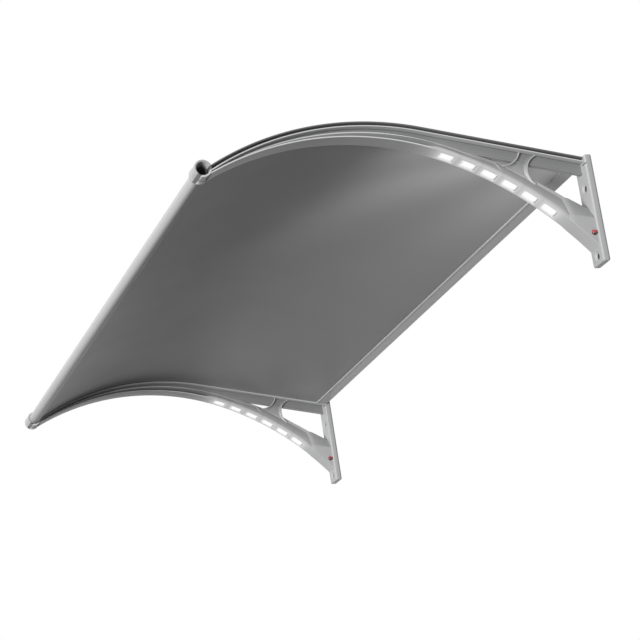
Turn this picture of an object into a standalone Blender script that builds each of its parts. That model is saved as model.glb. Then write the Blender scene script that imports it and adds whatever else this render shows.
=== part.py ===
"""Door canopy: a curved panel on two moulded brackets with lit arms.

Sizes are in metres. The wall is the plane y = 0 and the canopy reaches out along -y. "Out" is the distance
from the wall, "up" is the height above the wall plates' bottom ends, and x runs along the canopy's width,
with the right-hand bracket at +x.
"""
import math

import bmesh
import bpy
from mathutils import Matrix, Vector

# Distance between the two brackets' centre planes
BRACKET_SPACING = 1.500

# Wall plate
PLATE_WIDTH = 0.044
PLATE_HEIGHT = 0.186
PLATE_THICKNESS = 0.013
PLATE_EDGE_RADIUS = 0.003
HOLE_LOW_UP = 0.014
HOLE_HIGH_UP = 0.132
HOLE_DIAMETER = 0.007
HOLE_MOUTH_DIAMETER = 0.018
HOLE_MOUTH_DEPTH = 0.0045
VENT_UP = 0.1702
VENT_HEIGHT = 0.0026
VENT_DEPTH = 0.0035

# Top rail: its line is the upper face of the lip that carries the panel
RAIL_RADIUS = 0.500
RAIL_APEX_OUT = 0.405
RAIL_APEX_UP = 0.253
RAIL_SLOPE = math.radians(13.0)
RAIL_WIDTH = 0.036
RAIL_LIP = 0.0022
RAIL_ROOF = 0.0026
RAIL_CORE_WIDTH = 0.014
RAIL_STEPS = 18
WEB_WIDTH = 0.008
BEAD_WIDTH = 0.011
BEAD_HEIGHT = 0.0025
WEB_DEPTH = 0.018
BEAD_END_OUT = 0.208
CORE_INSET = 0.002
WEB_INSET = 0.004

# How deep in the plate each of the pieces joined to it starts, as a share of the plate's thickness
RAIL_ROOT = 0.60
BEAD_ROOT = 0.65
HOUSING_ROOT = 0.70
WEB_ROOT = 0.75

# Panel
PANEL_THICKNESS = 0.0035
PANEL_CLEARANCE = 0.0003
PANEL_EDGE_CLEARANCE = 0.001
PANEL_REAR_CLEARANCE = 0.0006
PANEL_TUBE_ENTRY = 0.0024

# Front tube and the ring that takes it
TUBE_DIAMETER = 0.022
TUBE_WALL = 0.0015
TUBE_FIT = 0.0003
TUBE_SETBACK = 0.0175
TUBE_TAIL = 0.010
RING_OUT = 0.665
RING_LIFT = 0.0085
RING_WALL = 0.0027
RING_MOUTH = 0.0185
RING_STEP = -0.006
SPIGOT_WALL = 0.0014

# Arm: two arcs that meet in one slope. Where they meet, and the nose, are measured from the ring's centre
ARM_FRONT_RADIUS = 0.490
ARM_REAR_RADIUS = 0.600
ARM_JOINT_BACK = 0.417
ARM_JOINT_RISE = 0.0075
ARM_NOSE_BACK = 0.0125
ARM_NOSE_DROP = 0.0095
ARM_ROOT_OUT = 0.0485
ARM_WIDTH = 0.0356
ARM_CHAMFER = 0.0008
ARM_STEPS = 21
# Out, side height, height where the slope meets the rim, rim height, rim half width
ARM_SECTIONS = (
    (0.030, 0.0075, 0.0310, 0.0370, 0.0060),
    (0.062, 0.0065, 0.0300, 0.0362, 0.0060),
    (0.105, 0.0060, 0.0250, 0.0305, 0.0058),
    (0.170, 0.0060, 0.0205, 0.0255, 0.0056),
    (0.225, 0.0060, 0.0145, 0.0195, 0.0054),
    (0.268, 0.0060, 0.0120, 0.0182, 0.0054),
    (0.286, 0.0026, 0.0036, 0.0175, 0.0052),
    (0.361, 0.0026, 0.0034, 0.0157, 0.0050),
    (0.505, 0.0026, 0.0032, 0.0100, 0.0048),
    (0.640, 0.0026, 0.0030, 0.0050, 0.0044),
    (0.700, 0.0026, 0.0030, 0.0050, 0.0044),
)

# Root housing between the arm and the plate. A "rise" is a height over the arm's underside at that place
HOUSING_WIDTH = 0.038
HOUSING_OUT = 0.058
HOUSING_SIDE_RISE = (0.0483, 0.0093)
HOUSING_RIDGE_RISE = (0.0690, 0.0475)
HOUSING_RIDGE_WIDTH = (0.006, 0.011)
HOUSING_STEPS = 6
HOUSING_SWELL = 0.0004

# Strut between the arm and the rail: two hollow curves with raised rims. A centre is its distance from the
# wall and its height over the rail's rear run
STRUT_WIDTH = 0.017
STRUT_WALL = 0.007
STRUT_RIM = 0.0062
STRUT_REAR_CENTRE = (0.083, -0.0268)
STRUT_REAR_RADIUS = 0.028
STRUT_FRONT_CENTRE = (0.152, 0.0013)
STRUT_FRONT_RADIUS = 0.031
STRUT_REAR_SPAN = (88.0, -50.0)
STRUT_FRONT_SPAN = (275.0, 185.0)
STRUT_ARC_STEPS = 9

# Lamp windows, their lenses and the lamp board
WINDOW_COUNT = 6
WINDOW_PITCH = 0.0385
WINDOW_LENGTH = 0.028
WINDOW_WIDTH = 0.025
WINDOW_CORNER = 0.004
WINDOW_DEPTH = 0.0032
LENS_RECESS = 0.0008
LENS_CLEARANCE = 0.0003
CHANNEL_WIDTH = 0.016
CHANNEL_ROOF = 0.0069
BOARD_THICKNESS = 0.0010
BOARD_CLEARANCE = 0.0004
BOARD_TAIL_OUT = 0.0235
LAMP_SIZE = 0.005
LAMP_HEIGHT = 0.0015

# Hollow of the root housing
HOLLOW_WIDTH = 0.031
HOLLOW_OUT = (0.010, 0.047)
HOLLOW_TOP_RISE = (0.0489, 0.0150)
HOLLOW_FLOOR = 0.0035

# Cover on the housing's hidden side
COVER_THICKNESS = 0.0020
COVER_OUT = (0.0142, 0.055)
COVER_TOP_RISE = (0.0449, 0.0091)
COVER_MARGIN = 0.0025
COVER_LEDGE = 0.0020
COVER_CLEARANCE = 0.0003
COVER_SCREW_OUT = 0.051
COVER_SCREW_RISE = 0.0083
SCREW_HEAD_RADIUS = 0.0024
SCREW_HEAD_HEIGHT = 0.0010
SCREW_SHANK_RADIUS = 0.00115
SCREW_LENGTH = 0.0080
SCREW_SLOT = 0.0006
SCREW_END_GAP = 0.0007

# Cell and its holder
CELL_DIAMETER = 0.015
CELL_LENGTH = 0.026
CELL_OUT = 0.026
CELL_RISE = 0.0218
CELL_TIP = 0.0012
HOLDER_WALL = 0.0010
HOLDER_GAP = 0.0004

# Push button, its spring and the board behind it
BUTTON_OUT = 0.0185
BUTTON_RISE = 0.0168
BUTTON_RADIUS = 0.0045
BUTTON_DOME = 0.0030
BUTTON_COLLAR_RADIUS = 0.0056
BUTTON_COLLAR_THICKNESS = 0.0010
BUTTON_STEM_RADIUS = 0.0015
BUTTON_TRAVEL = 0.0015
BUTTON_CLEARANCE = 0.0004
SPRING_WIRE_RADIUS = 0.0003
SPRING_TURNS = 4
SWITCH_SIZE = 0.006
SWITCH_HEIGHT = 0.0035
DRIVER_OUT = (0.0104, 0.0220)
DRIVER_FROM_BUTTON = (-0.0065, 0.0060)
DRIVER_THICKNESS = 0.0012

# Rear rail that caps the panel's rear edge, and the strip between it and the wall
CAP_OUT = 0.009
CAP_LOWER_DEPTH = 0.0225
CAP_UPPER_DEPTH = 0.017
CAP_WALL = 0.0024
CAP_BEAD = 0.0013
CAP_GAP = 0.0004
SEAL_GAP = 0.0003
SEAL_FOOT = 0.0020
SEAL_FOOT_OUT = (0.0098, 0.0210)
SEAL_WALL_OUT = 0.0036
SEAL_LIP = 0.0016
SEAL_RISE = 0.0045
END_CLEARANCE = 0.0004

ROUND_SEGMENTS = 32
MERGE_DISTANCE = 0.00001

# How far a cutter goes past the face it cuts
OVERCUT = 0.001

# Places that follow from the sizes above
RAIL_CENTRE = Vector((RAIL_APEX_OUT, RAIL_APEX_UP - RAIL_RADIUS))
GROOVE_HEIGHT = PANEL_THICKNESS + 2.0 * PANEL_CLEARANCE
PANEL_LIFT = PANEL_CLEARANCE + PANEL_THICKNESS / 2.0
RING_BORE_RADIUS = TUBE_DIAMETER / 2.0 + TUBE_FIT
RING_RADIUS = RING_BORE_RADIUS + RING_WALL
RING_ANGLE = math.asin((RING_OUT - RAIL_APEX_OUT) / (RAIL_RADIUS + RING_LIFT))
RING_CENTRE = RAIL_CENTRE + (RAIL_RADIUS + RING_LIFT) * Vector((math.sin(RING_ANGLE), math.cos(RING_ANGLE)))
ARM_JOINT = RING_CENTRE + Vector((-ARM_JOINT_BACK, ARM_JOINT_RISE))
ARM_CHORD = RING_CENTRE + Vector((-ARM_NOSE_BACK, -ARM_NOSE_DROP)) - ARM_JOINT
ARM_HALF_ARC = math.asin(ARM_CHORD.length / 2.0 / ARM_FRONT_RADIUS)
ARM_FALL = math.atan2(-ARM_CHORD.y, ARM_CHORD.x)
ARM_JOINT_SLOPE = ARM_HALF_ARC - ARM_FALL
ARM_NOSE_ANGLE = ARM_HALF_ARC + ARM_FALL
HOUSING_WALL_X = HOUSING_WIDTH / 2.0
INNER_HALF = BRACKET_SPACING / 2.0 - RING_MOUTH - END_CLEARANCE
PLATE_INNER_HALF = BRACKET_SPACING / 2.0 - PLATE_WIDTH / 2.0 - END_CLEARANCE


def clear_scene():
    for item in list(bpy.data.objects):
        bpy.data.objects.remove(item, do_unlink=True)


def new_collection(name):
    collection = bpy.data.collections.new(name)
    bpy.context.scene.collection.children.link(collection)
    return collection


def direction(angle):
    """Unit vector at an angle from straight up, positive away from the wall."""
    return Vector((math.sin(angle), math.cos(angle)))


def rail_point(angle, lift=0.0):
    return RAIL_CENTRE + (RAIL_RADIUS + lift) * direction(angle)


def rail_rear_point(out, lift=0.0):
    """Point on the rail's straight rear run, at a distance from the wall."""
    tangent = rail_point(-RAIL_SLOPE)
    up = tangent.y - (tangent.x - out) * math.tan(RAIL_SLOPE)
    return Vector((out, up)) + lift * direction(-RAIL_SLOPE)


def rail_line(start_out, end_angle, lift=0.0):
    """Points along the rail from the rear to the nose."""
    points = [rail_rear_point(start_out, lift)]
    for step in range(RAIL_STEPS + 1):
        angle = -RAIL_SLOPE + (end_angle + RAIL_SLOPE) * step / RAIL_STEPS
        points.append(rail_point(angle, lift))
    return points


def arm_point(angle, lift=0.0):
    """Point on the arm's underside, or above it, at the angle of its normal."""
    radius = ARM_FRONT_RADIUS if angle >= -ARM_JOINT_SLOPE else ARM_REAR_RADIUS
    centre = ARM_JOINT - radius * direction(-ARM_JOINT_SLOPE)
    return centre + (radius + lift) * direction(angle)


def arm_angle_at(out):
    """Angle of the arm's normal where its underside is at this distance from the wall."""
    radius = ARM_FRONT_RADIUS if out >= ARM_JOINT.x else ARM_REAR_RADIUS
    return math.asin((out - ARM_JOINT.x) / radius - math.sin(ARM_JOINT_SLOPE))


def arm_line(start_angle, end_angle, steps, lift=0.0):
    turn = end_angle - start_angle
    return [arm_point(start_angle + turn * step / steps, lift) for step in range(steps + 1)]


def over_arm(out, rise):
    """Height over the plates' bottom ends of something that lies over the arm's underside."""
    return arm_point(arm_angle_at(out)).y + rise


def window_angle(index):
    return -ARM_JOINT_SLOPE - index * WINDOW_PITCH / ARM_REAR_RADIUS


def section_at(out):
    """Arm section sizes between the two nearest named sections."""
    if out <= ARM_SECTIONS[0][0]:
        return ARM_SECTIONS[0][1:]
    for lower, upper in zip(ARM_SECTIONS, ARM_SECTIONS[1:]):
        if out <= upper[0]:
            share = (out - lower[0]) / (upper[0] - lower[0])
            return tuple(a + (b - a) * share for a, b in zip(lower[1:], upper[1:]))
    return ARM_SECTIONS[-1][1:]


def above_rail(point):
    """Height of a point over the rail's straight rear run."""
    return (point - rail_rear_point(0.0)).dot(direction(-RAIL_SLOPE))


def clip_below_rail(points, limit):
    """Outline with everything above a height over the rail's rear run cut away."""
    kept = []
    for here, following in zip(points, points[1:] + points[:1]):
        here_gap = limit - above_rail(here)
        next_gap = limit - above_rail(following)
        if here_gap >= 0.0:
            kept.append(here)
        if here_gap * next_gap < 0.0:
            kept.append(here.lerp(following, here_gap / (here_gap - next_gap)))
    return kept


def arc(centre, radius, start_degrees, end_degrees, steps):
    points = []
    for step in range(steps + 1):
        angle = math.radians(start_degrees + (end_degrees - start_degrees) * step / steps)
        points.append(Vector((centre[0] + radius * math.cos(angle), centre[1] + radius * math.sin(angle))))
    return points


def link(obj):
    bpy.context.scene.collection.objects.link(obj)
    return obj


def object_from_bmesh(name, bm):
    bmesh.ops.remove_doubles(bm, verts=bm.verts, dist=MERGE_DISTANCE)
    bmesh.ops.recalc_face_normals(bm, faces=bm.faces)
    mesh = bpy.data.meshes.new(name)
    bm.to_mesh(mesh)
    bm.free()
    return link(bpy.data.objects.new(name, mesh))


def mesh_from(obj):
    """Plain mesh object in place of a curve or of an object with modifiers."""
    depsgraph = bpy.context.evaluated_depsgraph_get()
    depsgraph.update()
    mesh = bpy.data.meshes.new_from_object(obj.evaluated_get(depsgraph))
    bm = bmesh.new()
    bm.from_mesh(mesh)
    bm.transform(obj.matrix_world)
    name = obj.name
    bpy.data.objects.remove(obj, do_unlink=True)
    return object_from_bmesh(name, bm)


def slab(name, points, low_x, high_x):
    """Outline in the (out, up) plane, made solid between two places along the width."""
    curve = bpy.data.curves.new(name, "CURVE")
    curve.dimensions = "2D"
    curve.fill_mode = "BOTH"
    curve.extrude = (high_x - low_x) / 2.0
    spline = curve.splines.new("POLY")
    spline.points.add(len(points) - 1)
    for target, point in zip(spline.points, points):
        target.co = (-point[0], point[1], 0.0, 1.0)
    spline.use_cyclic_u = True
    obj = link(bpy.data.objects.new(name, curve))
    turn = Matrix(((0.0, 0.0, 1.0), (1.0, 0.0, 0.0), (0.0, 1.0, 0.0))).to_4x4()
    obj.matrix_world = Matrix.Translation(((low_x + high_x) / 2.0, 0.0, 0.0)) @ turn
    bpy.context.view_layer.update()
    return mesh_from(obj)


def sweep(name, profile, path):
    """Section (x, lift) carried along a path in the (out, up) plane."""
    section = bpy.data.curves.new(name + "_section", "CURVE")
    section.dimensions = "2D"
    section.fill_mode = "NONE"
    spline = section.splines.new("POLY")
    spline.points.add(len(profile) - 1)
    for target, point in zip(spline.points, profile):
        target.co = (point[0], point[1], 0.0, 1.0)
    spline.use_cyclic_u = True
    section_obj = link(bpy.data.objects.new(name + "_section", section))
    curve = bpy.data.curves.new(name, "CURVE")
    curve.dimensions = "3D"
    curve.twist_mode = "Z_UP"
    curve.bevel_mode = "OBJECT"
    curve.bevel_object = section_obj
    curve.use_fill_caps = True
    spline = curve.splines.new("POLY")
    spline.points.add(len(path) - 1)
    for target, point in zip(spline.points, path):
        target.co = (0.0, -point[0], point[1], 1.0)
    obj = mesh_from(link(bpy.data.objects.new(name, curve)))
    bpy.data.objects.remove(section_obj, do_unlink=True)
    return obj


def loft(name, rings):
    """Closed skin over rings of equal point counts, given in space."""
    bm = bmesh.new()
    rows = [[bm.verts.new(point) for point in ring] for ring in rings]
    for near, far in zip(rows, rows[1:]):
        for index in range(len(near)):
            following = (index + 1) % len(near)
            bm.faces.new((near[index], near[following], far[following], far[index]))
    bm.faces.new(rows[0])
    bm.faces.new(list(reversed(rows[-1])))
    return object_from_bmesh(name, bm)


def block(name, low, high, bevel=0.0, segments=2):
    """Box between two corners, with its edges rounded."""
    bm = bmesh.new()
    bmesh.ops.create_cube(bm, size=1.0)
    low, high = Vector(low), Vector(high)
    size = high - low
    bmesh.ops.scale(bm, vec=size, verts=bm.verts)
    bmesh.ops.translate(bm, vec=(low + high) / 2.0, verts=bm.verts)
    if bevel > 0.0:
        bmesh.ops.bevel(bm, geom=list(bm.edges), offset=bevel, segments=segments, profile=0.5, affect="EDGES")
    return object_from_bmesh(name, bm)


def rod(name, out, up, radius, low_x, high_x, end_radius=None, segments=ROUND_SEGMENTS):
    """Round bar or cone along the width."""
    bm = bmesh.new()
    end = radius if end_radius is None else end_radius
    bmesh.ops.create_cone(
        bm, cap_ends=True, segments=segments, radius1=radius, radius2=end, depth=high_x - low_x)
    place = Matrix.Translation(((low_x + high_x) / 2.0, -out, up))
    bm.transform(place @ Matrix.Rotation(math.pi / 2.0, 4, "Y"))
    return object_from_bmesh(name, bm)


def drill(name, up, radius, near_out, far_out, far_radius=None, segments=24):
    """Round bar or cone square to the wall."""
    bm = bmesh.new()
    end = radius if far_radius is None else far_radius
    bmesh.ops.create_cone(
        bm, cap_ends=True, segments=segments, radius1=radius, radius2=end, depth=far_out - near_out)
    place = Matrix.Translation((0.0, -(near_out + far_out) / 2.0, up))
    bm.transform(place @ Matrix.Rotation(math.pi / 2.0, 4, "X"))
    return object_from_bmesh(name, bm)


def tilted_block(name, point, angle, half_x, half_along, low_lift, high_lift, corner=0.0):
    """Box on the arm's underside, with corners rounded in plan."""
    bm = bmesh.new()
    bmesh.ops.create_cube(bm, size=1.0)
    bmesh.ops.scale(bm, vec=(2.0 * half_x, 2.0 * half_along, high_lift - low_lift), verts=bm.verts)
    bmesh.ops.translate(bm, vec=(0.0, 0.0, (low_lift + high_lift) / 2.0), verts=bm.verts)
    if corner > 0.0:
        upright = [edge for edge in bm.edges if abs(edge.verts[0].co.z - edge.verts[1].co.z) > 1e-6]
        bmesh.ops.bevel(bm, geom=upright, offset=corner, segments=3, profile=0.5, affect="EDGES")
    bm.transform(Matrix.Translation((0.0, -point.x, point.y)) @ Matrix.Rotation(angle, 4, "X"))
    return object_from_bmesh(name, bm)


def turned(name, profile, segments):
    """Profile (radius, height) run from the top of the outer side to the bottom, turned about z."""
    mesh = bpy.data.meshes.new(name)
    mesh.from_pydata([(radius, 0.0, height) for radius, height in profile],
                     [(index, index + 1) for index in range(len(profile) - 1)], [])
    obj = link(bpy.data.objects.new(name, mesh))
    screw = obj.modifiers.new("turn", "SCREW")
    screw.steps = segments
    screw.render_steps = segments
    screw.use_merge_vertices = True
    screw.merge_threshold = 0.00001
    return mesh_from(obj)


def combine(base, others, operation):
    for other in others:
        other.hide_render = True
        other.display_type = "WIRE"
        modifier = base.modifiers.new(operation.lower(), "BOOLEAN")
        modifier.operation = operation
        modifier.solver = "EXACT"
        modifier.object = other
        base = mesh_from(base)
        bpy.data.objects.remove(other, do_unlink=True)
    return base


def fuse(base, others):
    return combine(base, others, "UNION")


def carve(base, cutters):
    return combine(base, cutters, "DIFFERENCE")


def material(name, colour, roughness, metallic=0.0, glow=0.0):
    item = bpy.data.materials.new(name)
    item.use_nodes = True
    shader = item.node_tree.nodes["Principled BSDF"]
    shader.inputs["Base Color"].default_value = (*colour, 1.0)
    shader.inputs["Roughness"].default_value = roughness
    shader.inputs["Metallic"].default_value = metallic
    if glow > 0.0:
        shader.inputs["Emission Color"].default_value = (*colour, 1.0)
        shader.inputs["Emission Strength"].default_value = glow
    item.diffuse_color = (*colour, 1.0)
    return item


def finish(obj, collection, name, look, smooth=True):
    """Name a piece, give it its look and file it with the parts."""
    obj.name = name
    obj.data.name = name
    obj.data.materials.clear()
    obj.data.materials.append(material(name, *look))
    if smooth:
        obj.data.shade_smooth()
        obj.data.set_sharp_from_angle(angle=math.radians(30.0))
    for owner in list(obj.users_collection):
        owner.objects.unlink(obj)
    collection.objects.link(obj)
    return obj


def pair(obj, collection, name, look, origin=(0.0, 0.0, 0.0), smooth=True):
    """The same piece on the right-hand and on the left-hand bracket, with its origin at a given place."""
    obj.data.transform(Matrix.Translation(-Vector(origin)))
    right = finish(obj, collection, "right_" + name, look, smooth)
    left = right.copy()
    left.name = "left_" + name
    collection.objects.link(left)
    right.location = Vector(origin) + Vector((BRACKET_SPACING / 2.0, 0.0, 0.0))
    left.location = Vector(origin) - Vector((BRACKET_SPACING / 2.0, 0.0, 0.0))


def make_plate():
    half = PLATE_WIDTH / 2.0
    return block("plate", (-half, -PLATE_THICKNESS, 0.0), (half, 0.0, PLATE_HEIGHT), PLATE_EDGE_RADIUS)


def rail_band(name, low_lift, high_lift, half_width, start_out, end_angle):
    low = rail_line(start_out, end_angle, low_lift)
    high = rail_line(start_out, end_angle, high_lift)
    return slab(name, low + list(reversed(high)), -half_width, half_width)


def make_rail():
    """Lip, core and roof, which leave a groove along each side."""
    half = RAIL_WIDTH / 2.0
    start = PLATE_THICKNESS * RAIL_ROOT
    end_inset = CORE_INSET / RAIL_RADIUS
    lip = rail_band("lip", -RAIL_LIP, 0.0, half, start, RING_ANGLE)
    core = rail_band("core", -RAIL_LIP / 2.0, GROOVE_HEIGHT + RAIL_ROOF / 2.0, RAIL_CORE_WIDTH / 2.0,
                     start * 1.1, RING_ANGLE - end_inset)
    roof = rail_band("roof", GROOVE_HEIGHT, GROOVE_HEIGHT + RAIL_ROOF, half, start, RING_ANGLE)
    return [lip, core, roof]


def make_web():
    """Thin wall between the rail and the arm, and below the rail's free rear run."""
    inset = WEB_INSET / RAIL_RADIUS
    start = PLATE_THICKNESS * WEB_ROOT
    top = rail_line(start, RING_ANGLE - inset, -RAIL_LIP / 2.0)
    bottom = arm_line(ARM_NOSE_ANGLE - inset, arm_angle_at(BEAD_END_OUT), 12, ARM_SECTIONS[-1][1] / 2.0)
    rear = [rail_rear_point(BEAD_END_OUT, -WEB_DEPTH), rail_rear_point(start, -WEB_DEPTH)]
    return slab("web", top + bottom + rear, -WEB_WIDTH / 2.0, WEB_WIDTH / 2.0)


def make_bead():
    start = PLATE_THICKNESS * BEAD_ROOT
    low = -WEB_DEPTH - BEAD_HEIGHT / 2.0
    high = low + BEAD_HEIGHT
    outline = [rail_rear_point(start, low), rail_rear_point(BEAD_END_OUT, low),
               rail_rear_point(BEAD_END_OUT, high), rail_rear_point(start, high)]
    return slab("bead", outline, -BEAD_WIDTH / 2.0, BEAD_WIDTH / 2.0)


def make_arm():
    rings = []
    half = ARM_WIDTH / 2.0
    cut = ARM_CHAMFER
    root_angle = arm_angle_at(ARM_ROOT_OUT)
    for step in range(ARM_STEPS + 1):
        angle = root_angle + (ARM_NOSE_ANGLE - root_angle) * step / ARM_STEPS
        side, slope_top, rim_top, rim_half = section_at(arm_point(angle).x)
        section = [(half - cut, 0.0), (half, cut), (half, side - cut), (half - cut, side),
                   (rim_half, slope_top), (rim_half, rim_top)]
        section = section + [(-x, lift) for x, lift in reversed(section)]
        ring = []
        for x, lift in section:
            point = arm_point(angle, lift)
            ring.append((x, -point.x, point.y))
        rings.append(ring)
    return loft("arm", rings)


def make_housing():
    rings = []
    half = HOUSING_WALL_X
    cut = ARM_CHAMFER
    narrow, wide = HOUSING_RIDGE_WIDTH
    start = PLATE_THICKNESS * HOUSING_ROOT
    ends = (PLATE_THICKNESS, HOUSING_OUT)
    side_ups = [over_arm(out, rise) for out, rise in zip(ends, HOUSING_SIDE_RISE)]
    ridge_ups = [over_arm(out, rise) for out, rise in zip(ends, HOUSING_RIDGE_RISE)]
    for step in range(HOUSING_STEPS + 1):
        out = start + (HOUSING_OUT - start) * step / HOUSING_STEPS
        share = (out - PLATE_THICKNESS) / (HOUSING_OUT - PLATE_THICKNESS)
        floor = over_arm(out, -HOUSING_SWELL)
        side = side_ups[0] + (side_ups[1] - side_ups[0]) * share
        ridge = ridge_ups[0] + (ridge_ups[1] - ridge_ups[0]) * share
        ridge_half = (narrow + (wide - narrow) * share) / 2.0
        section = [(half - cut, floor), (half, floor + cut), (half, side), (ridge_half, ridge)]
        section = section + [(-x, up) for x, up in reversed(section)]
        rings.append([(x, -out, up) for x, up in section])
    return loft("housing", rings)


def make_strut():
    """Wall between two hollow curves, with a raised rim along each."""
    rims = []
    wall_lines = []
    arcs = ((STRUT_REAR_CENTRE, STRUT_REAR_RADIUS, *STRUT_REAR_SPAN),
            (STRUT_FRONT_CENTRE, STRUT_FRONT_RADIUS, *STRUT_FRONT_SPAN))
    for (out, rise), radius, start, end in arcs:
        centre = rail_rear_point(out) + Vector((0.0, rise))
        inner = arc(centre, radius, start, end, STRUT_ARC_STEPS)
        outer = arc(centre, radius + STRUT_RIM, end, start, STRUT_ARC_STEPS)
        wall_lines.append(arc(centre, radius + STRUT_RIM / 2.0, start, end, STRUT_ARC_STEPS))
        outline = clip_below_rail(inner + outer, -RAIL_LIP * 0.3)
        rims.append(slab("rim", outline, -STRUT_WIDTH / 2.0, STRUT_WIDTH / 2.0))
    rear, front = wall_lines
    inside_arm = [arm_point(arm_angle_at(point.x + 0.010), 0.012) for point in (rear[-1], front[0])]
    outline = clip_below_rail(rear + inside_arm + front, -RAIL_LIP * 0.7)
    return rims + [slab("strut", outline, -STRUT_WALL / 2.0, STRUT_WALL / 2.0)]


def make_ring():
    collar = rod("collar", RING_CENTRE.x, RING_CENTRE.y, RING_RADIUS, RING_STEP, RING_MOUTH)
    spigot = rod("spigot", RING_CENTRE.x, RING_CENTRE.y, RING_BORE_RADIUS + SPIGOT_WALL,
                 -RING_MOUTH, RING_STEP + 0.002)
    return [collar, spigot]


def hollow_outline(outs, rises, floor, steps=6):
    """Outline inside the root housing, over a floor that follows the arm's underside."""
    near, far = outs
    points = []
    for step in range(steps + 1):
        out = near + (far - near) * step / steps
        points.append(Vector((out, over_arm(out, floor / math.cos(arm_angle_at(out))))))
    return points + [Vector((far, over_arm(far, rises[1]))), Vector((near, over_arm(near, rises[0])))]


def make_bracket_cutters():
    bore_end = 2.0 * RING_MOUTH
    cutters = [rod("bore", RING_CENTRE.x, RING_CENTRE.y, RING_BORE_RADIUS, -bore_end, bore_end)]
    for up in (HOLE_LOW_UP, HOLE_HIGH_UP):
        cutters.append(drill("hole", up, HOLE_DIAMETER / 2.0, -OVERCUT, PLATE_THICKNESS + OVERCUT))
        slope = (HOLE_MOUTH_DIAMETER - HOLE_DIAMETER) / 2.0 / HOLE_MOUTH_DEPTH
        cutters.append(drill("mouth", up, HOLE_DIAMETER / 2.0 - slope * OVERCUT,
                             PLATE_THICKNESS - HOLE_MOUTH_DEPTH - OVERCUT, PLATE_THICKNESS + OVERCUT,
                             HOLE_MOUTH_DIAMETER / 2.0 + slope * OVERCUT))
    vent_low, vent_high = VENT_UP - VENT_HEIGHT / 2.0, VENT_UP + VENT_HEIGHT / 2.0
    cutters.append(block("vent", (WEB_WIDTH / 2.0 + 0.0005, -PLATE_THICKNESS - OVERCUT, vent_low),
                         (PLATE_WIDTH, -PLATE_THICKNESS + VENT_DEPTH, vent_high)))
    for index in range(WINDOW_COUNT):
        angle = window_angle(index)
        cutters.append(tilted_block("window", arm_point(angle), angle, WINDOW_WIDTH / 2.0,
                                    WINDOW_LENGTH / 2.0, -OVERCUT, WINDOW_DEPTH, WINDOW_CORNER))
    first = window_angle(0) + WINDOW_LENGTH * 0.6 / ARM_FRONT_RADIUS
    last = arm_angle_at(HOLLOW_OUT[1] - 0.004)
    channel = arm_line(first, last, 10, WINDOW_DEPTH - 0.0004) + arm_line(last, first, 10, CHANNEL_ROOF)
    cutters.append(slab("channel", channel, -CHANNEL_WIDTH / 2.0, CHANNEL_WIDTH / 2.0))
    cutters.append(slab("hollow", hollow_outline(HOLLOW_OUT, HOLLOW_TOP_RISE, HOLLOW_FLOOR),
                        -HOLLOW_WIDTH / 2.0, HOLLOW_WIDTH / 2.0))
    outer = HOUSING_WALL_X + OVERCUT
    recess_outs = (COVER_OUT[0] - COVER_CLEARANCE, COVER_OUT[1] + COVER_CLEARANCE)
    recess_tops = (COVER_TOP_RISE[0] + COVER_CLEARANCE, COVER_TOP_RISE[1] + COVER_CLEARANCE)
    cutters.append(slab("recess", hollow_outline(recess_outs, recess_tops, COVER_MARGIN - COVER_CLEARANCE),
                        -outer, -HOUSING_WALL_X + COVER_THICKNESS + COVER_CLEARANCE))
    way_outs = (COVER_OUT[0] + COVER_LEDGE, HOLLOW_OUT[1] - 0.001)
    way_tops = (COVER_TOP_RISE[0] - COVER_LEDGE, HOLLOW_TOP_RISE[1] - 0.001)
    cutters.append(slab("way", hollow_outline(way_outs, way_tops, COVER_MARGIN + COVER_LEDGE),
                        -outer, -HOLLOW_WIDTH / 2.0 + 0.001))
    screw_end = -HOUSING_WALL_X + SCREW_LENGTH + SCREW_HEAD_HEIGHT + SCREW_END_GAP
    cutters.append(rod("screw_hole", COVER_SCREW_OUT, over_arm(COVER_SCREW_OUT, COVER_SCREW_RISE),
                       SCREW_SHANK_RADIUS + COVER_CLEARANCE, -outer, screw_end, segments=16))
    cutters.append(rod("button_hole", BUTTON_OUT, over_arm(BUTTON_OUT, BUTTON_RISE),
                       BUTTON_RADIUS + BUTTON_CLEARANCE, HOLLOW_WIDTH / 2.0 - 0.001, outer, segments=24))
    return cutters


def make_brackets(parts):
    body = make_plate()
    body = fuse(body, [make_housing(), make_arm(), make_web(), make_bead()] + make_rail())
    body = fuse(body, make_strut() + make_ring())
    body = carve(body, make_bracket_cutters())
    pair(body, parts, "bracket_body", ((0.50, 0.51, 0.52), 0.42, 0.15))


def make_lenses(parts):
    for index in range(WINDOW_COUNT):
        angle = window_angle(index)
        lens = tilted_block("lens", arm_point(angle), angle, WINDOW_WIDTH / 2.0 - LENS_CLEARANCE,
                            WINDOW_LENGTH / 2.0 - LENS_CLEARANCE, LENS_RECESS, WINDOW_DEPTH - LENS_CLEARANCE,
                            WINDOW_CORNER - LENS_CLEARANCE)
        pair(lens, parts, "lens_%d" % (index + 1), ((0.95, 0.97, 1.0), 0.35, 0.0, 0.6))


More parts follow.
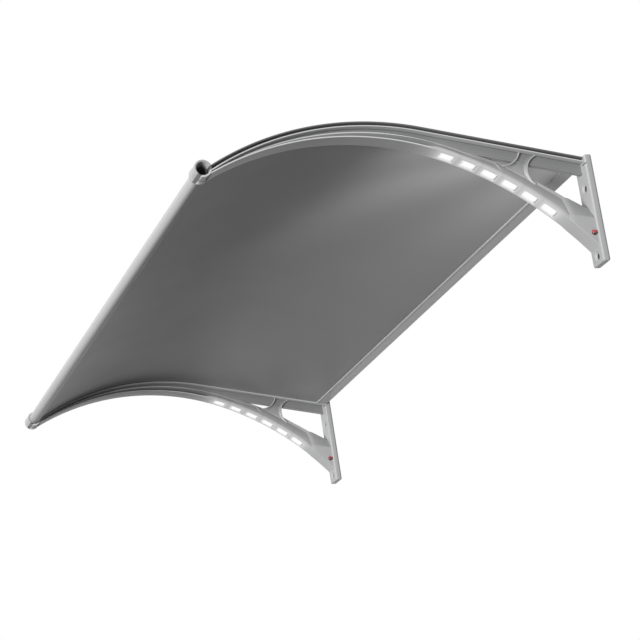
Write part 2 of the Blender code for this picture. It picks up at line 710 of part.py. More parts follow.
def make_led_strip(parts):
    first = window_angle(0) + WINDOW_LENGTH * 0.45 / ARM_FRONT_RADIUS
    last = arm_angle_at(BOARD_TAIL_OUT + CHANNEL_ROOF * math.sin(ARM_JOINT_SLOPE * 2.0))
    top = CHANNEL_ROOF - BOARD_CLEARANCE
    outline = arm_line(first, last, 12, top - BOARD_THICKNESS) + arm_line(last, first, 12, top)
    half = CHANNEL_WIDTH / 2.0 - BOARD_CLEARANCE
    strip = slab("led_strip", outline, -half, half)
    lamps = []
    for index in range(WINDOW_COUNT):
        angle = window_angle(index)
        lamps.append(tilted_block("lamp", arm_point(angle), angle, LAMP_SIZE / 2.0, LAMP_SIZE / 2.0,
                                  top - BOARD_THICKNESS - LAMP_HEIGHT, top - BOARD_THICKNESS / 2.0))
    pair(fuse(strip, lamps), parts, "led_strip", ((0.85, 0.85, 0.82), 0.5, 0.0))


def make_cover(parts):
    outline = hollow_outline(COVER_OUT, COVER_TOP_RISE, COVER_MARGIN)
    screw_up = over_arm(COVER_SCREW_OUT, COVER_SCREW_RISE)
    cover = slab("cover", outline, -HOUSING_WALL_X, -HOUSING_WALL_X + COVER_THICKNESS)
    hole_radius = SCREW_SHANK_RADIUS + COVER_CLEARANCE
    head_radius = SCREW_HEAD_RADIUS + COVER_CLEARANCE
    outer = -HOUSING_WALL_X - 0.001
    cutters = [
        rod("hole", COVER_SCREW_OUT, screw_up, hole_radius, outer, -HOUSING_WALL_X + 0.01, segments=16),
        rod("seat", COVER_SCREW_OUT, screw_up, head_radius, outer,
            -HOUSING_WALL_X + SCREW_HEAD_HEIGHT + COVER_CLEARANCE, segments=24)]
    pair(carve(cover, cutters), parts, "battery_cover", ((0.46, 0.47, 0.48), 0.45, 0.1))

    head = SCREW_HEAD_HEIGHT
    profile = [(0.0, head), (SCREW_HEAD_RADIUS * 0.75, head), (SCREW_HEAD_RADIUS, head * 0.6),
               (SCREW_HEAD_RADIUS, 0.0), (SCREW_SHANK_RADIUS, 0.0),
               (SCREW_SHANK_RADIUS, -SCREW_LENGTH * 0.85), (0.0, -SCREW_LENGTH)]
    screw = turned("screw", profile, 16)
    reach = SCREW_HEAD_RADIUS * 2.0
    slot = block("slot", (-reach, -SCREW_SLOT / 2.0, head * 0.5), (reach, SCREW_SLOT / 2.0, head * 2.0))
    screw = carve(screw, [slot])
    origin = Vector((-HOUSING_WALL_X + head, -COVER_SCREW_OUT, screw_up))
    screw.data.transform(Matrix.Translation(origin) @ Matrix.Rotation(-math.pi / 2.0, 4, "Y"))
    pair(screw, parts, "cover_screw", ((0.55, 0.55, 0.56), 0.3, 1.0), origin)


def make_cell(parts):
    radius = CELL_DIAMETER / 2.0
    half = CELL_LENGTH / 2.0
    shoulder = half - CELL_TIP
    profile = [(0.0, half), (radius * 0.35, half), (radius * 0.35, shoulder), (radius * 0.9, shoulder),
               (radius, shoulder - 0.0008), (radius, -half + 0.0005), (radius * 0.93, -half), (0.0, -half)]
    cell = turned("cell", profile, 24)
    cell_up = over_arm(CELL_OUT, CELL_RISE)
    origin = Vector((0.0, -CELL_OUT, cell_up))
    cell.data.transform(Matrix.Translation(origin) @ Matrix.Rotation(math.pi / 2.0, 4, "Y"))
    pair(cell, parts, "battery_cell", ((0.10, 0.22, 0.55), 0.35, 0.2), origin)

    inner = half + HOLDER_GAP
    outer = inner + HOLDER_WALL
    rear = CELL_OUT - radius - HOLDER_GAP
    low, high = cell_up - radius * 0.85, cell_up + radius * 0.95
    back = block("holder", (-outer, -rear, low), (outer, -rear + HOLDER_WALL, high))
    ends = [block("end", (side - HOLDER_WALL / 2.0, -CELL_OUT - radius * 0.9, low),
                  (side + HOLDER_WALL / 2.0, -rear + HOLDER_WALL, high))
            for side in (-inner - HOLDER_WALL / 2.0, inner + HOLDER_WALL / 2.0)]
    pair(fuse(back, ends), parts, "battery_holder", ((0.05, 0.05, 0.055), 0.5, 0.0), smooth=False)


def make_button(parts):
    """Dome that slides in the housing's outer side, its spring, and the board with the switch."""
    collar_face = HOLLOW_WIDTH / 2.0 - SEAL_GAP
    rim = HOUSING_WALL_X + 0.0006
    crown = rim + BUTTON_DOME
    collar_back = collar_face - BUTTON_COLLAR_THICKNESS
    switch_face = collar_back - 0.0045
    stem_end = switch_face + BUTTON_TRAVEL + 0.0002
    profile = []
    for step in range(5):
        angle = math.pi / 2.0 * step / 4.0
        profile.append((BUTTON_RADIUS * math.sin(angle), rim + (crown - rim) * math.cos(angle)))
    profile += [(BUTTON_RADIUS, collar_face), (BUTTON_COLLAR_RADIUS, collar_face),
                (BUTTON_COLLAR_RADIUS, collar_back), (BUTTON_STEM_RADIUS, collar_back),
                (BUTTON_STEM_RADIUS, stem_end), (0.0, stem_end)]
    cap = turned("cap", profile, 20)
    button_up = over_arm(BUTTON_OUT, BUTTON_RISE)
    place = Vector((0.0, -BUTTON_OUT, button_up))
    cap.data.transform(Matrix.Translation(place) @ Matrix.Rotation(math.pi / 2.0, 4, "Y"))
    pair(cap, parts, "button_cap", ((0.60, 0.04, 0.03), 0.25, 0.0), place + Vector((crown, 0.0, 0.0)))

    coil_radius = BUTTON_STEM_RADIUS + 0.0008
    low = switch_face + SEAL_GAP + SPRING_WIRE_RADIUS
    high = collar_back - SEAL_GAP - SPRING_WIRE_RADIUS
    curve = bpy.data.curves.new("spring", "CURVE")
    curve.dimensions = "3D"
    curve.bevel_depth = SPRING_WIRE_RADIUS
    curve.bevel_resolution = 0
    curve.use_fill_caps = True
    steps_per_turn = 10
    count = SPRING_TURNS * steps_per_turn + 1
    spline = curve.splines.new("POLY")
    spline.points.add(count - 1)
    for index, point in enumerate(spline.points):
        angle = 2.0 * math.pi * index / steps_per_turn
        along = low + (high - low) * index / (count - 1)
        point.co = (along, coil_radius * math.cos(angle) - BUTTON_OUT,
                    coil_radius * math.sin(angle) + button_up, 1.0)
    spring = mesh_from(link(bpy.data.objects.new("spring", curve)))
    pair(spring, parts, "button_spring", ((0.6, 0.6, 0.6), 0.3, 1.0), place + Vector((low, 0.0, 0.0)))

    board_face = switch_face - SWITCH_HEIGHT
    board = block("board", (board_face - DRIVER_THICKNESS, -DRIVER_OUT[1], button_up + DRIVER_FROM_BUTTON[0]),
                  (board_face, -DRIVER_OUT[0], button_up + DRIVER_FROM_BUTTON[1]))
    half = SWITCH_SIZE / 2.0
    switch = block("switch", (board_face - DRIVER_THICKNESS / 2.0, -BUTTON_OUT - half, button_up - half),
                   (switch_face, -BUTTON_OUT + half, button_up + half), 0.0004, 1)
    pair(fuse(board, [switch]), parts, "driver_board", ((0.03, 0.22, 0.10), 0.5, 0.0), smooth=False)


def make_panel(parts):
    """Thin curved panel held in both rails, with its front edge in the tube."""
    half = BRACKET_SPACING / 2.0 - RAIL_CORE_WIDTH / 2.0 - PANEL_EDGE_CLEARANCE
    thick = PANEL_THICKNESS / 2.0
    profile = [(-half, -thick), (half, -thick), (half, thick), (-half, thick)]
    radius = RAIL_RADIUS + PANEL_LIFT
    drop = RING_LIFT - PANEL_LIFT
    tube_reach = math.sqrt((TUBE_DIAMETER / 2.0) ** 2 - drop ** 2)
    front_angle = RING_ANGLE - (tube_reach - PANEL_TUBE_ENTRY) / radius
    lean = math.sin(RAIL_SLOPE) * (PANEL_CLEARANCE + PANEL_THICKNESS)
    path = rail_line(PLATE_THICKNESS + PANEL_REAR_CLEARANCE + lean, front_angle, PANEL_LIFT)
    panel = sweep("panel", profile, path)
    ring_reach = math.sqrt((RING_RADIUS + 0.0006) ** 2 - drop ** 2)
    corner_angle = RING_ANGLE - ring_reach / radius
    corner = rail_point(corner_angle, PANEL_LIFT)
    cutters = []
    for side in (-1.0, 1.0):
        inner = INNER_HALF
        bite = tilted_block("bite", corner, corner_angle, (half - inner) / 2.0 + 0.002, 0.010, -0.006, 0.006)
        shift = Vector((side * ((half + inner) / 2.0 + 0.002), 0.0, 0.0))
        along = direction(corner_angle + math.pi / 2.0) * 0.010
        bite.data.transform(Matrix.Translation(shift + Vector((0.0, -along.x, along.y))))
        cutters.append(bite)
    panel = carve(panel, cutters)
    finish(panel, parts, "canopy_panel", ((0.080, 0.082, 0.086), 0.45, 0.0))


def make_tube(parts):
    low = -BRACKET_SPACING / 2.0 - TUBE_TAIL
    high = BRACKET_SPACING / 2.0 + RING_MOUTH - TUBE_SETBACK
    radius = TUBE_DIAMETER / 2.0
    tube = rod("tube", RING_CENTRE.x, RING_CENTRE.y, radius, low, high)
    hollow = rod("hollow", RING_CENTRE.x, RING_CENTRE.y, radius - TUBE_WALL, low - 0.01, high + 0.01)
    slot_radius = RAIL_RADIUS + PANEL_LIFT
    far_angle = RING_ANGLE - 2.0 * radius / slot_radius
    near_angle = RING_ANGLE - 0.3 * radius / slot_radius
    half = GROOVE_HEIGHT / 2.0
    outline = [rail_point(far_angle, PANEL_LIFT - half), rail_point(near_angle, PANEL_LIFT - half),
               rail_point(near_angle, PANEL_LIFT + half), rail_point(far_angle, PANEL_LIFT + half)]
    slot = slab("slot", outline, -INNER_HALF - END_CLEARANCE, INNER_HALF + END_CLEARANCE)
    finish(carve(tube, [hollow, slot]), parts, "front_tube", ((0.36, 0.36, 0.37), 0.35, 0.6))


def make_rear_pieces(parts):
    bottom = -CAP_GAP + PANEL_CLEARANCE
    top = PANEL_CLEARANCE + PANEL_THICKNESS + CAP_GAP
    web_out = PLATE_THICKNESS
    front = CAP_OUT + CAP_LOWER_DEPTH
    outline = [
        rail_rear_point(CAP_OUT, bottom - CAP_WALL), rail_rear_point(front - 0.0030, bottom - CAP_WALL),
        rail_rear_point(front - 0.0025, bottom - CAP_WALL - CAP_BEAD),
        rail_rear_point(front, bottom - CAP_WALL - CAP_BEAD), rail_rear_point(front, bottom),
        rail_rear_point(web_out, bottom), rail_rear_point(web_out, top),
        rail_rear_point(CAP_OUT + CAP_UPPER_DEPTH, top),
        rail_rear_point(CAP_OUT + CAP_UPPER_DEPTH, top + CAP_WALL * 0.6),
        rail_rear_point(CAP_OUT + CAP_UPPER_DEPTH - 0.001, top + CAP_WALL),
        rail_rear_point(CAP_OUT, top + CAP_WALL)]
    cap = slab("cap", outline, -PLATE_INNER_HALF, PLATE_INNER_HALF)
    finish(cap, parts, "rear_rail", ((0.42, 0.42, 0.43), 0.4, 0.3))

    foot = top + CAP_WALL + SEAL_GAP
    crown = foot + SEAL_FOOT
    outline = [
        rail_rear_point(SEAL_FOOT_OUT[0], foot), rail_rear_point(SEAL_FOOT_OUT[1], foot),
        rail_rear_point(SEAL_FOOT_OUT[1], crown - SEAL_LIP * 0.4),
        rail_rear_point(SEAL_FOOT_OUT[0] + SEAL_LIP, crown),
        rail_rear_point(SEAL_WALL_OUT + SEAL_LIP, crown + SEAL_RISE),
        rail_rear_point(SEAL_WALL_OUT, crown + SEAL_RISE),
        rail_rear_point(SEAL_WALL_OUT + SEAL_LIP * 0.2, crown + SEAL_RISE - SEAL_LIP)]
    seal = slab("seal", outline, -PLATE_INNER_HALF, PLATE_INNER_HALF)
    finish(seal, parts, "wall_seal", ((0.03, 0.03, 0.03), 0.8, 0.0))


def main():
    clear_scene()
    parts = new_collection("door_canopy")
    make_brackets(parts)
    make_lenses(parts)
    make_led_strip(parts)
    make_cover(parts)
    make_cell(parts)
    make_button(parts)
    make_panel(parts)
    make_tube(parts)
    make_rear_pieces(parts)


main()
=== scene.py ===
import math

import bmesh
import bpy
from mathutils import Matrix, Vector


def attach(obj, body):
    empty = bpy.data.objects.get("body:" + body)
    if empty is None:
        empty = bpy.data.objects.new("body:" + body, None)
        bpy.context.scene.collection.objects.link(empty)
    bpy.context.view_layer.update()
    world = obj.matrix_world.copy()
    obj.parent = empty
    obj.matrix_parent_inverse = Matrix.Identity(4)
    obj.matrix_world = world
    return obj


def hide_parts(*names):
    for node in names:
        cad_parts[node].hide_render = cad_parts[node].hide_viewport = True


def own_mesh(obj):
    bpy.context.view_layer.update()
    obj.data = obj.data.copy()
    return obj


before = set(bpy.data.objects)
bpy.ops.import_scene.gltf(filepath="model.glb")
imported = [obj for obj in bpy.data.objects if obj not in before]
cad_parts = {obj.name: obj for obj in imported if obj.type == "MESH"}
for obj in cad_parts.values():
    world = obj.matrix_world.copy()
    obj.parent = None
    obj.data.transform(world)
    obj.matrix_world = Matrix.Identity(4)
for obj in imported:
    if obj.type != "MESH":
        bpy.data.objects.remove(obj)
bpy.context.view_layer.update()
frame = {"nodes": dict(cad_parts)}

# metres; the wall is y = 0, the canopy reaches out along -y ("out"), x runs along its width
halfSpacing = 0.75


# view and light

view = {
    "place": (4.17795803, -1.69359091, -1.06666583),
    "right": (0.28453579, 0.9470102, -0.14903377),
    "up": (0.2992334, 0.05995858, 0.95229425),
    "back": (0.91076822, -0.31555767, -0.26631672),
    "lens": 135.0,
    "floorHeight": -2.2,
    "floorHalf": 5.0,
    "floorGlow": 0.34,
    "floorLow": 0.12,
    "ambient": 0.17,
    "keyStrength": 3.3,
    "keyFrom": (0.62, -0.77, -0.12),
    "topStrength": 1.6,
    "topFrom": (-0.08, -0.35, 0.93),
}


def aimed(direction):
    return Vector(direction).to_track_quat("Z", "Y").to_euler()


def addSun(name, direction, strength, spread):
    lamp = bpy.data.lights.new(name, "SUN")
    lamp.energy = strength
    lamp.angle = math.radians(spread)
    sun = bpy.data.objects.new(name, lamp)
    sun.rotation_euler = aimed(direction)
    bpy.context.scene.collection.objects.link(sun)


def seenRays(tree):
    path = tree.nodes.new("ShaderNodeLightPath")
    first = tree.nodes.new("ShaderNodeMath"); first.operation = "MAXIMUM"
    second = tree.nodes.new("ShaderNodeMath"); second.operation = "MAXIMUM"
    tree.links.new(path.outputs["Is Camera Ray"], first.inputs[0])
    tree.links.new(path.outputs["Is Glossy Ray"], first.inputs[1])
    tree.links.new(first.outputs[0], second.inputs[0])
    tree.links.new(path.outputs["Is Transmission Ray"], second.inputs[1])
    return second.outputs[0]


def makeView():
    scene = bpy.context.scene
    scene.view_settings.view_transform = "Standard"
    camera = bpy.data.objects.new("camera", bpy.data.cameras.new("camera"))
    camera.data.lens = view["lens"]
    camera.data.sensor_width = 36.0
    camera.data.clip_end = 100.0
    axes = Matrix((view["right"], view["up"], view["back"])).transposed().to_4x4()
    camera.matrix_world = Matrix.Translation(view["place"]) @ axes
    scene.collection.objects.link(camera)
    scene.camera = camera

    world = bpy.data.worlds.new("studio")
    world.use_nodes = True
    scene.world = world
    tree = world.node_tree
    background = tree.nodes["Background"]
    mix = tree.nodes.new("ShaderNodeMix")
    mix.data_type = "RGBA"
    mix.inputs[6].default_value = (view["ambient"],) * 3 + (1.0,)
    mix.inputs[7].default_value = (1.0, 1.0, 1.0, 1.0)
    tree.links.new(seenRays(tree), mix.inputs[0])
    tree.links.new(mix.outputs[2], background.inputs["Color"])

    addSun("keyLight", view["keyFrom"], view["keyStrength"], 26.0)
    addSun("topLight", view["topFrom"], view["topStrength"], 18.0)

    mesh = bpy.data.meshes.new("floor")
    size, height = view["floorHalf"], view["floorHeight"]
    corners = [(-size, -size, height), (size, -size, height), (size, size, height), (-size, size, height)]
    mesh.from_pydata(corners, [], [(0, 1, 2, 3)])
    floor = bpy.data.objects.new("floor", mesh)
    scene.collection.objects.link(floor)
    paint = bpy.data.materials.new("floorPaint")
    paint.use_nodes = True
    tree = paint.node_tree
    shader = tree.nodes["Principled BSDF"]
    shader.inputs["Roughness"].default_value = 0.9
    mix = tree.nodes.new("ShaderNodeMix")
    mix.data_type = "RGBA"
    mix.inputs[6].default_value = (view["floorLow"],) * 3 + (1.0,)
    mix.inputs[7].default_value = (0.90, 0.90, 0.90, 1.0)
    seen = seenRays(tree)
    tree.links.new(seen, mix.inputs[0])
    tree.links.new(mix.outputs[2], shader.inputs["Base Color"])
    lift = tree.nodes.new("ShaderNodeMath"); lift.operation = "MULTIPLY"
    lift.inputs[1].default_value = view["floorGlow"]
    tree.links.new(seen, lift.inputs[0])
    tree.links.new(lift.outputs[0], shader.inputs["Emission Strength"])
    shader.inputs["Emission Color"].default_value = (1.0, 1.0, 1.0, 1.0)
    paint.cycles.emission_sampling = "NONE"
    mesh.materials.append(paint)
    print("view and light set")


# curves that the brackets and the panel share

line = {
    "radius": 0.500, "apexOut": 0.405, "apexUp": 0.253, "slope": math.radians(13.0),
    "ringOut": 0.665, "ringLift": 0.0085,
    "frontRadius": 0.490, "rearRadius": 0.600, "jointSlope": math.radians(22.0),
    "jointOut": 0.248, "jointUp": 0.1975,
}
railCentre = Vector((line["apexOut"], line["apexUp"] - line["radius"]))
ringAngle = math.asin((line["ringOut"] - line["apexOut"]) / (line["radius"] + line["ringLift"]))


def pointing(angle):
    return Vector((math.sin(angle), math.cos(angle)))


def railPoint(angle, lift=0.0):
    return railCentre + (line["radius"] + lift) * pointing(angle)


def railRear(out, lift=0.0):
    tangent = railPoint(-line["slope"])
    foot = Vector((out, tangent.y - (tangent.x - out) * math.tan(line["slope"])))
    return foot + lift * pointing(-line["slope"])


def railStations(startOut, endAngle, steps, straightSteps=8):
    # (out, up, direction of lift) at the lip's upper face, from the wall to the nose
    stations = []
    tangentOut = railPoint(-line["slope"]).x
    for step in range(straightSteps):
        point = railRear(startOut + (tangentOut - startOut) * step / straightSteps)
        stations.append((point, -line["slope"]))
    for step in range(steps + 1):
        angle = -line["slope"] + (endAngle + line["slope"]) * step / steps
        stations.append((railPoint(angle), angle))
    return stations


def armCentre(radius):
    return Vector((line["jointOut"], line["jointUp"])) - radius * pointing(-line["jointSlope"])


def armPoint(angle, lift=0.0):
    radius = line["frontRadius"] if angle >= -line["jointSlope"] else line["rearRadius"]
    return armCentre(radius) + (radius + lift) * pointing(angle)


def armAngle(out):
    radius = line["frontRadius"] if out >= line["jointOut"] else line["rearRadius"]
    return math.asin((out - armCentre(radius).x) / radius)


def armTop(out, lift):
    return armPoint(armAngle(out), lift)


# mesh tools

def newObject(name, mesh):
    item = bpy.data.objects.new(name, mesh)
    bpy.context.scene.collection.objects.link(item)
    return item


def fromBmesh(name, bm):
    bmesh.ops.remove_doubles(bm, verts=bm.verts, dist=0.000002)
    bmesh.ops.recalc_face_normals(bm, faces=bm.faces)
    mesh = bpy.data.meshes.new(name)
    bm.to_mesh(mesh)
    bm.free()
    return newObject(name, mesh)


def applied(item):
    # plain mesh object in place of one with modifiers
    graph = bpy.context.evaluated_depsgraph_get()
    graph.update()
    mesh = bpy.data.meshes.new_from_object(item.evaluated_get(graph))
    name = item.name
    matrix = item.matrix_world.copy()
    bpy.data.objects.remove(item, do_unlink=True)
    mesh.transform(matrix)
    mesh.name = name
    return newObject(name, mesh)


def roundOff(corners, radii, steps=3):
    # polygon with each corner turned into an arc
    points = []
    count = len(corners)
    for index in range(count):
        here = Vector(corners[index])
        before = Vector(corners[index - 1])
        after = Vector(corners[(index + 1) % count])
        back, ahead = before - here, after - here
        radius = radii[index] if isinstance(radii, (list, tuple)) else radii
        angle = back.angle(ahead)
        if radius <= 0.0 or angle > math.pi - 0.02:
            points += [here.copy() for _ in range(steps + 1)] if radius > 0.0 else [here]
            continue
        reach = radius / math.tan(angle / 2.0)
        limit = 0.48 * min(back.length, ahead.length)
        if reach > limit:
            radius *= limit / reach
            reach = limit
        start = here + back.normalized() * reach
        end = here + ahead.normalized() * reach
        between = (back.normalized() + ahead.normalized()).normalized()
        centre = here + between * (radius / math.sin(angle / 2.0))
        first, last = start - centre, end - centre
        for step in range(steps + 1):
            blend = first.lerp(last, step / steps)
            points.append(centre + blend.normalized() * radius)
    return points


def loft(name, rings):
    bm = bmesh.new()
    rows = [[bm.verts.new(point) for point in ring] for ring in rings]
    for near, far in zip(rows, rows[1:]):
        for index in range(len(near)):
            following = (index + 1) % len(near)
            bm.faces.new((near[index], near[following], far[following], far[index]))
    bm.faces.new(rows[0])
    bm.faces.new(list(reversed(rows[-1])))
    return fromBmesh(name, bm)


def prism(name, outline, lowX, highX):
    # outline in the (out, up) plane, made solid along the width
    bm = bmesh.new()
    ring = [bm.verts.new((lowX, -point[0], point[1])) for point in outline]
    face = bm.faces.new(ring)
    grown = bmesh.ops.extrude_face_region(bm, geom=[face])
    bmesh.ops.translate(bm, vec=(highX - lowX, 0.0, 0.0),
                        verts=[part for part in grown["geom"] if isinstance(part, bmesh.types.BMVert)])
    bmesh.ops.recalc_face_normals(bm, faces=bm.faces)
    return fromBmesh(name, bm)


def sweepBand(name, section, stations):
    # section of (x, lift) points carried along stations of (point, angle)
    rings = []
    for point, angle in stations:
        lifted = [point + lift * pointing(angle) for _, lift in section]
        rings.append([(x, -place.x, place.y) for (x, _), place in zip(section, lifted)])
    return loft(name, rings)


def lathe(name, profile, segments, place, axis="X"):
    # closed or open profile of (radius, height), turned about the given axis through a place
    bm = bmesh.new()
    verts = [bm.verts.new((radius, 0.0, height)) for radius, height in profile]
    sides = [bm.edges.new((a, b)) for a, b in zip(verts, verts[1:])]
    bmesh.ops.spin(bm, geom=verts + sides, cent=(0, 0, 0), axis=(0, 0, 1), angle=2.0 * math.pi,
                   steps=segments, use_merge=True)
    turn = Matrix.Rotation(math.pi / 2.0, 4, "Y" if axis == "X" else "X")
    bm.transform(Matrix.Translation(place) @ turn)
    return fromBmesh(name, bm)


def rod(name, place, radius, length, axis, endRadius=None, segments=64):
    bm = bmesh.new()
    bmesh.ops.create_cone(bm, cap_ends=True, segments=segments, radius1=radius,
                          radius2=radius if endRadius is None else endRadius, depth=length)
    turn = Matrix.Rotation(math.pi / 2.0, 4, "Y" if axis == "X" else "X")
    bm.transform(Matrix.Translation(place) @ turn)
    return fromBmesh(name, bm)


def cut(item, cutters):
    for tool in cutters:
        change = item.modifiers.new("cut", "BOOLEAN")
        change.operation = "DIFFERENCE"
        change.solver = "EXACT"
        change.object = tool
    return applied(item)


def joined(name, items):
    bm = bmesh.new()
    for item in items:
        bm.from_mesh(item.data)
        bpy.data.objects.remove(item, do_unlink=True)
    mesh = bpy.data.meshes.new(name)
    bm.to_mesh(mesh)
    bm.free()
    return newObject(name, mesh)


def soften(item, degrees=32.0):
    item.data.shade_smooth()
    item.data.set_sharp_from_angle(angle=math.radians(degrees))


def dress(item, paint, body, nodes=()):
    item.data.materials.clear()
    item.data.materials.append(paint)
    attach(item, body)
    if nodes:
        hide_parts(*nodes)


def shifted(item, name, offset):
    mesh = item.data.copy()
    mesh.transform(Matrix.Translation(offset))
    return newObject(name, mesh)


# finishes and painted light

class Paint:
    # short hand for building a material's nodes
    def __init__(self, name, colour, roughness, metallic=0.0, specular=0.5):
        self.material = bpy.data.materials.new(name)
        self.material.use_nodes = True
        self.tree = self.material.node_tree
        self.shader = self.tree.nodes["Principled BSDF"]
        self.shader.inputs["Base Color"].default_value = (*colour, 1.0)
        self.shader.inputs["Roughness"].default_value = roughness
        self.shader.inputs["Metallic"].default_value = metallic
        self.shader.inputs["Specular IOR Level"].default_value = specular
        self.colour = colour
        self.roughness = roughness
        self.coords = self.tree.nodes.new("ShaderNodeTexCoord")

    def link(self, source, target):
        if isinstance(source, (int, float)):
            target.default_value = source
        else:
            self.tree.links.new(source, target)

    def sum(self, operation, first, second=None, third=None):
        node = self.tree.nodes.new("ShaderNodeMath")
        node.operation = operation
        for index, value in enumerate((first, second, third)):
            if value is not None:
                self.link(value, node.inputs[index])
        return node.outputs[0]

    def times(self, *values):
        total = values[0]
        for value in values[1:]:
            total = self.sum("MULTIPLY", total, value)
        return total

    def plus(self, *values):
        total = values[0]
        for value in values[1:]:
            total = self.sum("ADD", total, value)
        return total

    def minus(self, first, second):
        return self.sum("SUBTRACT", first, second)

    def length(self, *sides):
        return self.sum("SQRT", self.plus(*[self.times(side, side) for side in sides]))

    def fromBracket(self, x):
        # distance along the width from the nearest bracket's middle
        return self.sum("ABSOLUTE", self.minus(self.sum("ABSOLUTE", x), halfSpacing))

    def place(self):
        node = self.tree.nodes.new("ShaderNodeSeparateXYZ")
        self.link(self.coords.outputs["Object"], node.inputs[0])
        return node.outputs[0], node.outputs[1], node.outputs[2]

    def ramp(self, value, fromLow, fromHigh, toLow=0.0, toHigh=1.0, smooth=True):
        node = self.tree.nodes.new("ShaderNodeMapRange")
        if smooth:
            node.interpolation_type = "SMOOTHSTEP"
        self.link(value, node.inputs["Value"])
        levels = (("From Min", fromLow), ("From Max", fromHigh), ("To Min", toLow), ("To Max", toHigh))
        for label, number in levels:
            node.inputs[label].default_value = number
        return node.outputs[0]

    def noise(self, scale, stretch=(1.0, 1.0, 1.0), detail=3.0):
        mapping = self.tree.nodes.new("ShaderNodeMapping")
        mapping.inputs["Scale"].default_value = stretch
        self.link(self.coords.outputs["Object"], mapping.inputs["Vector"])
        node = self.tree.nodes.new("ShaderNodeTexNoise")
        node.inputs["Scale"].default_value = scale
        node.inputs["Detail"].default_value = detail
        self.link(mapping.outputs[0], node.inputs["Vector"])
        return node.outputs["Fac"]

    def tint(self, factor, low, high):
        # colour between two levels of the paint's own colour
        node = self.tree.nodes.new("ShaderNodeMix")
        node.data_type = "RGBA"
        node.inputs[6].default_value = (*[part * low for part in self.colour], 1.0)
        node.inputs[7].default_value = (*[min(part * high, 1.0) for part in self.colour], 1.0)
        self.link(factor, node.inputs[0])
        self.link(node.outputs[2], self.shader.inputs["Base Color"])
        return node

    def rough(self, factor, spread):
        self.link(self.ramp(factor, 0.0, 1.0, self.roughness - spread, self.roughness + spread, False),
                  self.shader.inputs["Roughness"])

    def bump(self, height, strength, distance):
        node = self.tree.nodes.new("ShaderNodeBump")
        node.inputs["Strength"].default_value = strength
        node.inputs["Distance"].default_value = distance
        self.link(height, node.inputs["Height"])
        self.link(node.outputs[0], self.shader.inputs["Normal"])

    def glow(self, value, colour=(1.0, 1.0, 1.0)):
        self.shader.inputs["Emission Color"].default_value = (*colour, 1.0)
        self.link(value, self.shader.inputs["Emission Strength"])
        # dim and wide, so it isn't sampled as a lamp, which would make grain on the faces near it
        self.material.cycles.emission_sampling = "NONE"


finishesAndPaintedLight = {
    "bracket": {"colour": (0.48, 0.482, 0.485), "roughness": 0.45, "specular": 0.30},
    "panel": {"colour": (0.245, 0.242, 0.243), "roughness": 0.42, "specular": 0.10,
              # painted lamplight on the sheet near each bracket's windows
              "lampLevel": (0.03, 0.21), "lampReach": 0.27, "lampOut": (0.04, 0.25), "lampSlant": 0.22,
              "lampAhead": (0.20, 0.34), "rayCount": 15.0, "rayDepth": 0.22},
    "tube": {"colour": (0.55, 0.55, 0.555), "roughness": 0.42, "metallic": 0.15, "specular": 0.2},
    "rail": {"colour": (0.54, 0.54, 0.542), "roughness": 0.46, "metallic": 0.1, "specular": 0.2},
    # painted shade and painted highlight levels, the painted lamplight round the windows and the lenses' own glow
    "recessShadeLevel": 0.50,
    "undersideShadeLevel": 0.66,
    "tubeWallSideShade": 0.26,
    "wallEdgeShadeLevel": 0.72,
    "edgeHighlightLevel": 1.6,
    "haloReach": 0.0092,
    "lensAndHaloGlow": 0.36,
    "lampCore": 0.46,
}
windows = {"count": 6, "pitch": 0.0385, "length": 0.028, "width": 0.025, "corner": 0.004, "depth": 0.0032,
           "recess": 0.0008, "gap": 0.0003, "ribs": 11, "ribHeight": 0.00016}


def windowPlace(paint):
    # place of a point over the nearest lit window: along it (towards the wall), across it, and over its face
    x, y, z = paint.place()
    centre = armCentre(line["rearRadius"])
    across = paint.fromBracket(x)
    out = paint.minus(paint.times(y, -1.0), centre.x)
    up = paint.minus(z, centre.y)
    angle = paint.sum("ARCTAN2", out, up)
    reach = paint.length(out, up)
    lift = paint.sum("ABSOLUTE", paint.minus(reach, line["rearRadius"]))
    turns = paint.times(paint.minus(-line["jointSlope"], angle),
                      line["rearRadius"] / windows["pitch"])
    nearest = paint.sum("MAXIMUM", paint.sum("ROUND", turns), 0.0)
    nearest = paint.sum("MINIMUM", nearest, windows["count"] - 1.0)
    along = paint.times(paint.minus(turns, nearest), windows["pitch"])
    return along, across, lift


def windowDistance(paint):
    # how far a point lies from the nearest lit window's edge
    along, across, lift = windowPlace(paint)
    besideAlong = paint.minus(paint.sum("ABSOLUTE", along), windows["length"] / 2.0 - 0.003)
    besideAlong = paint.sum("MAXIMUM", besideAlong, 0.0)
    besideAcross = paint.sum("MAXIMUM", paint.minus(across, windows["width"] / 2.0 - 0.003), 0.0)
    total = paint.plus(paint.times(besideAlong, besideAlong),
                      paint.times(besideAcross, besideAcross))
    return paint.sum("SQRT", paint.plus(total, paint.times(lift, lift)))


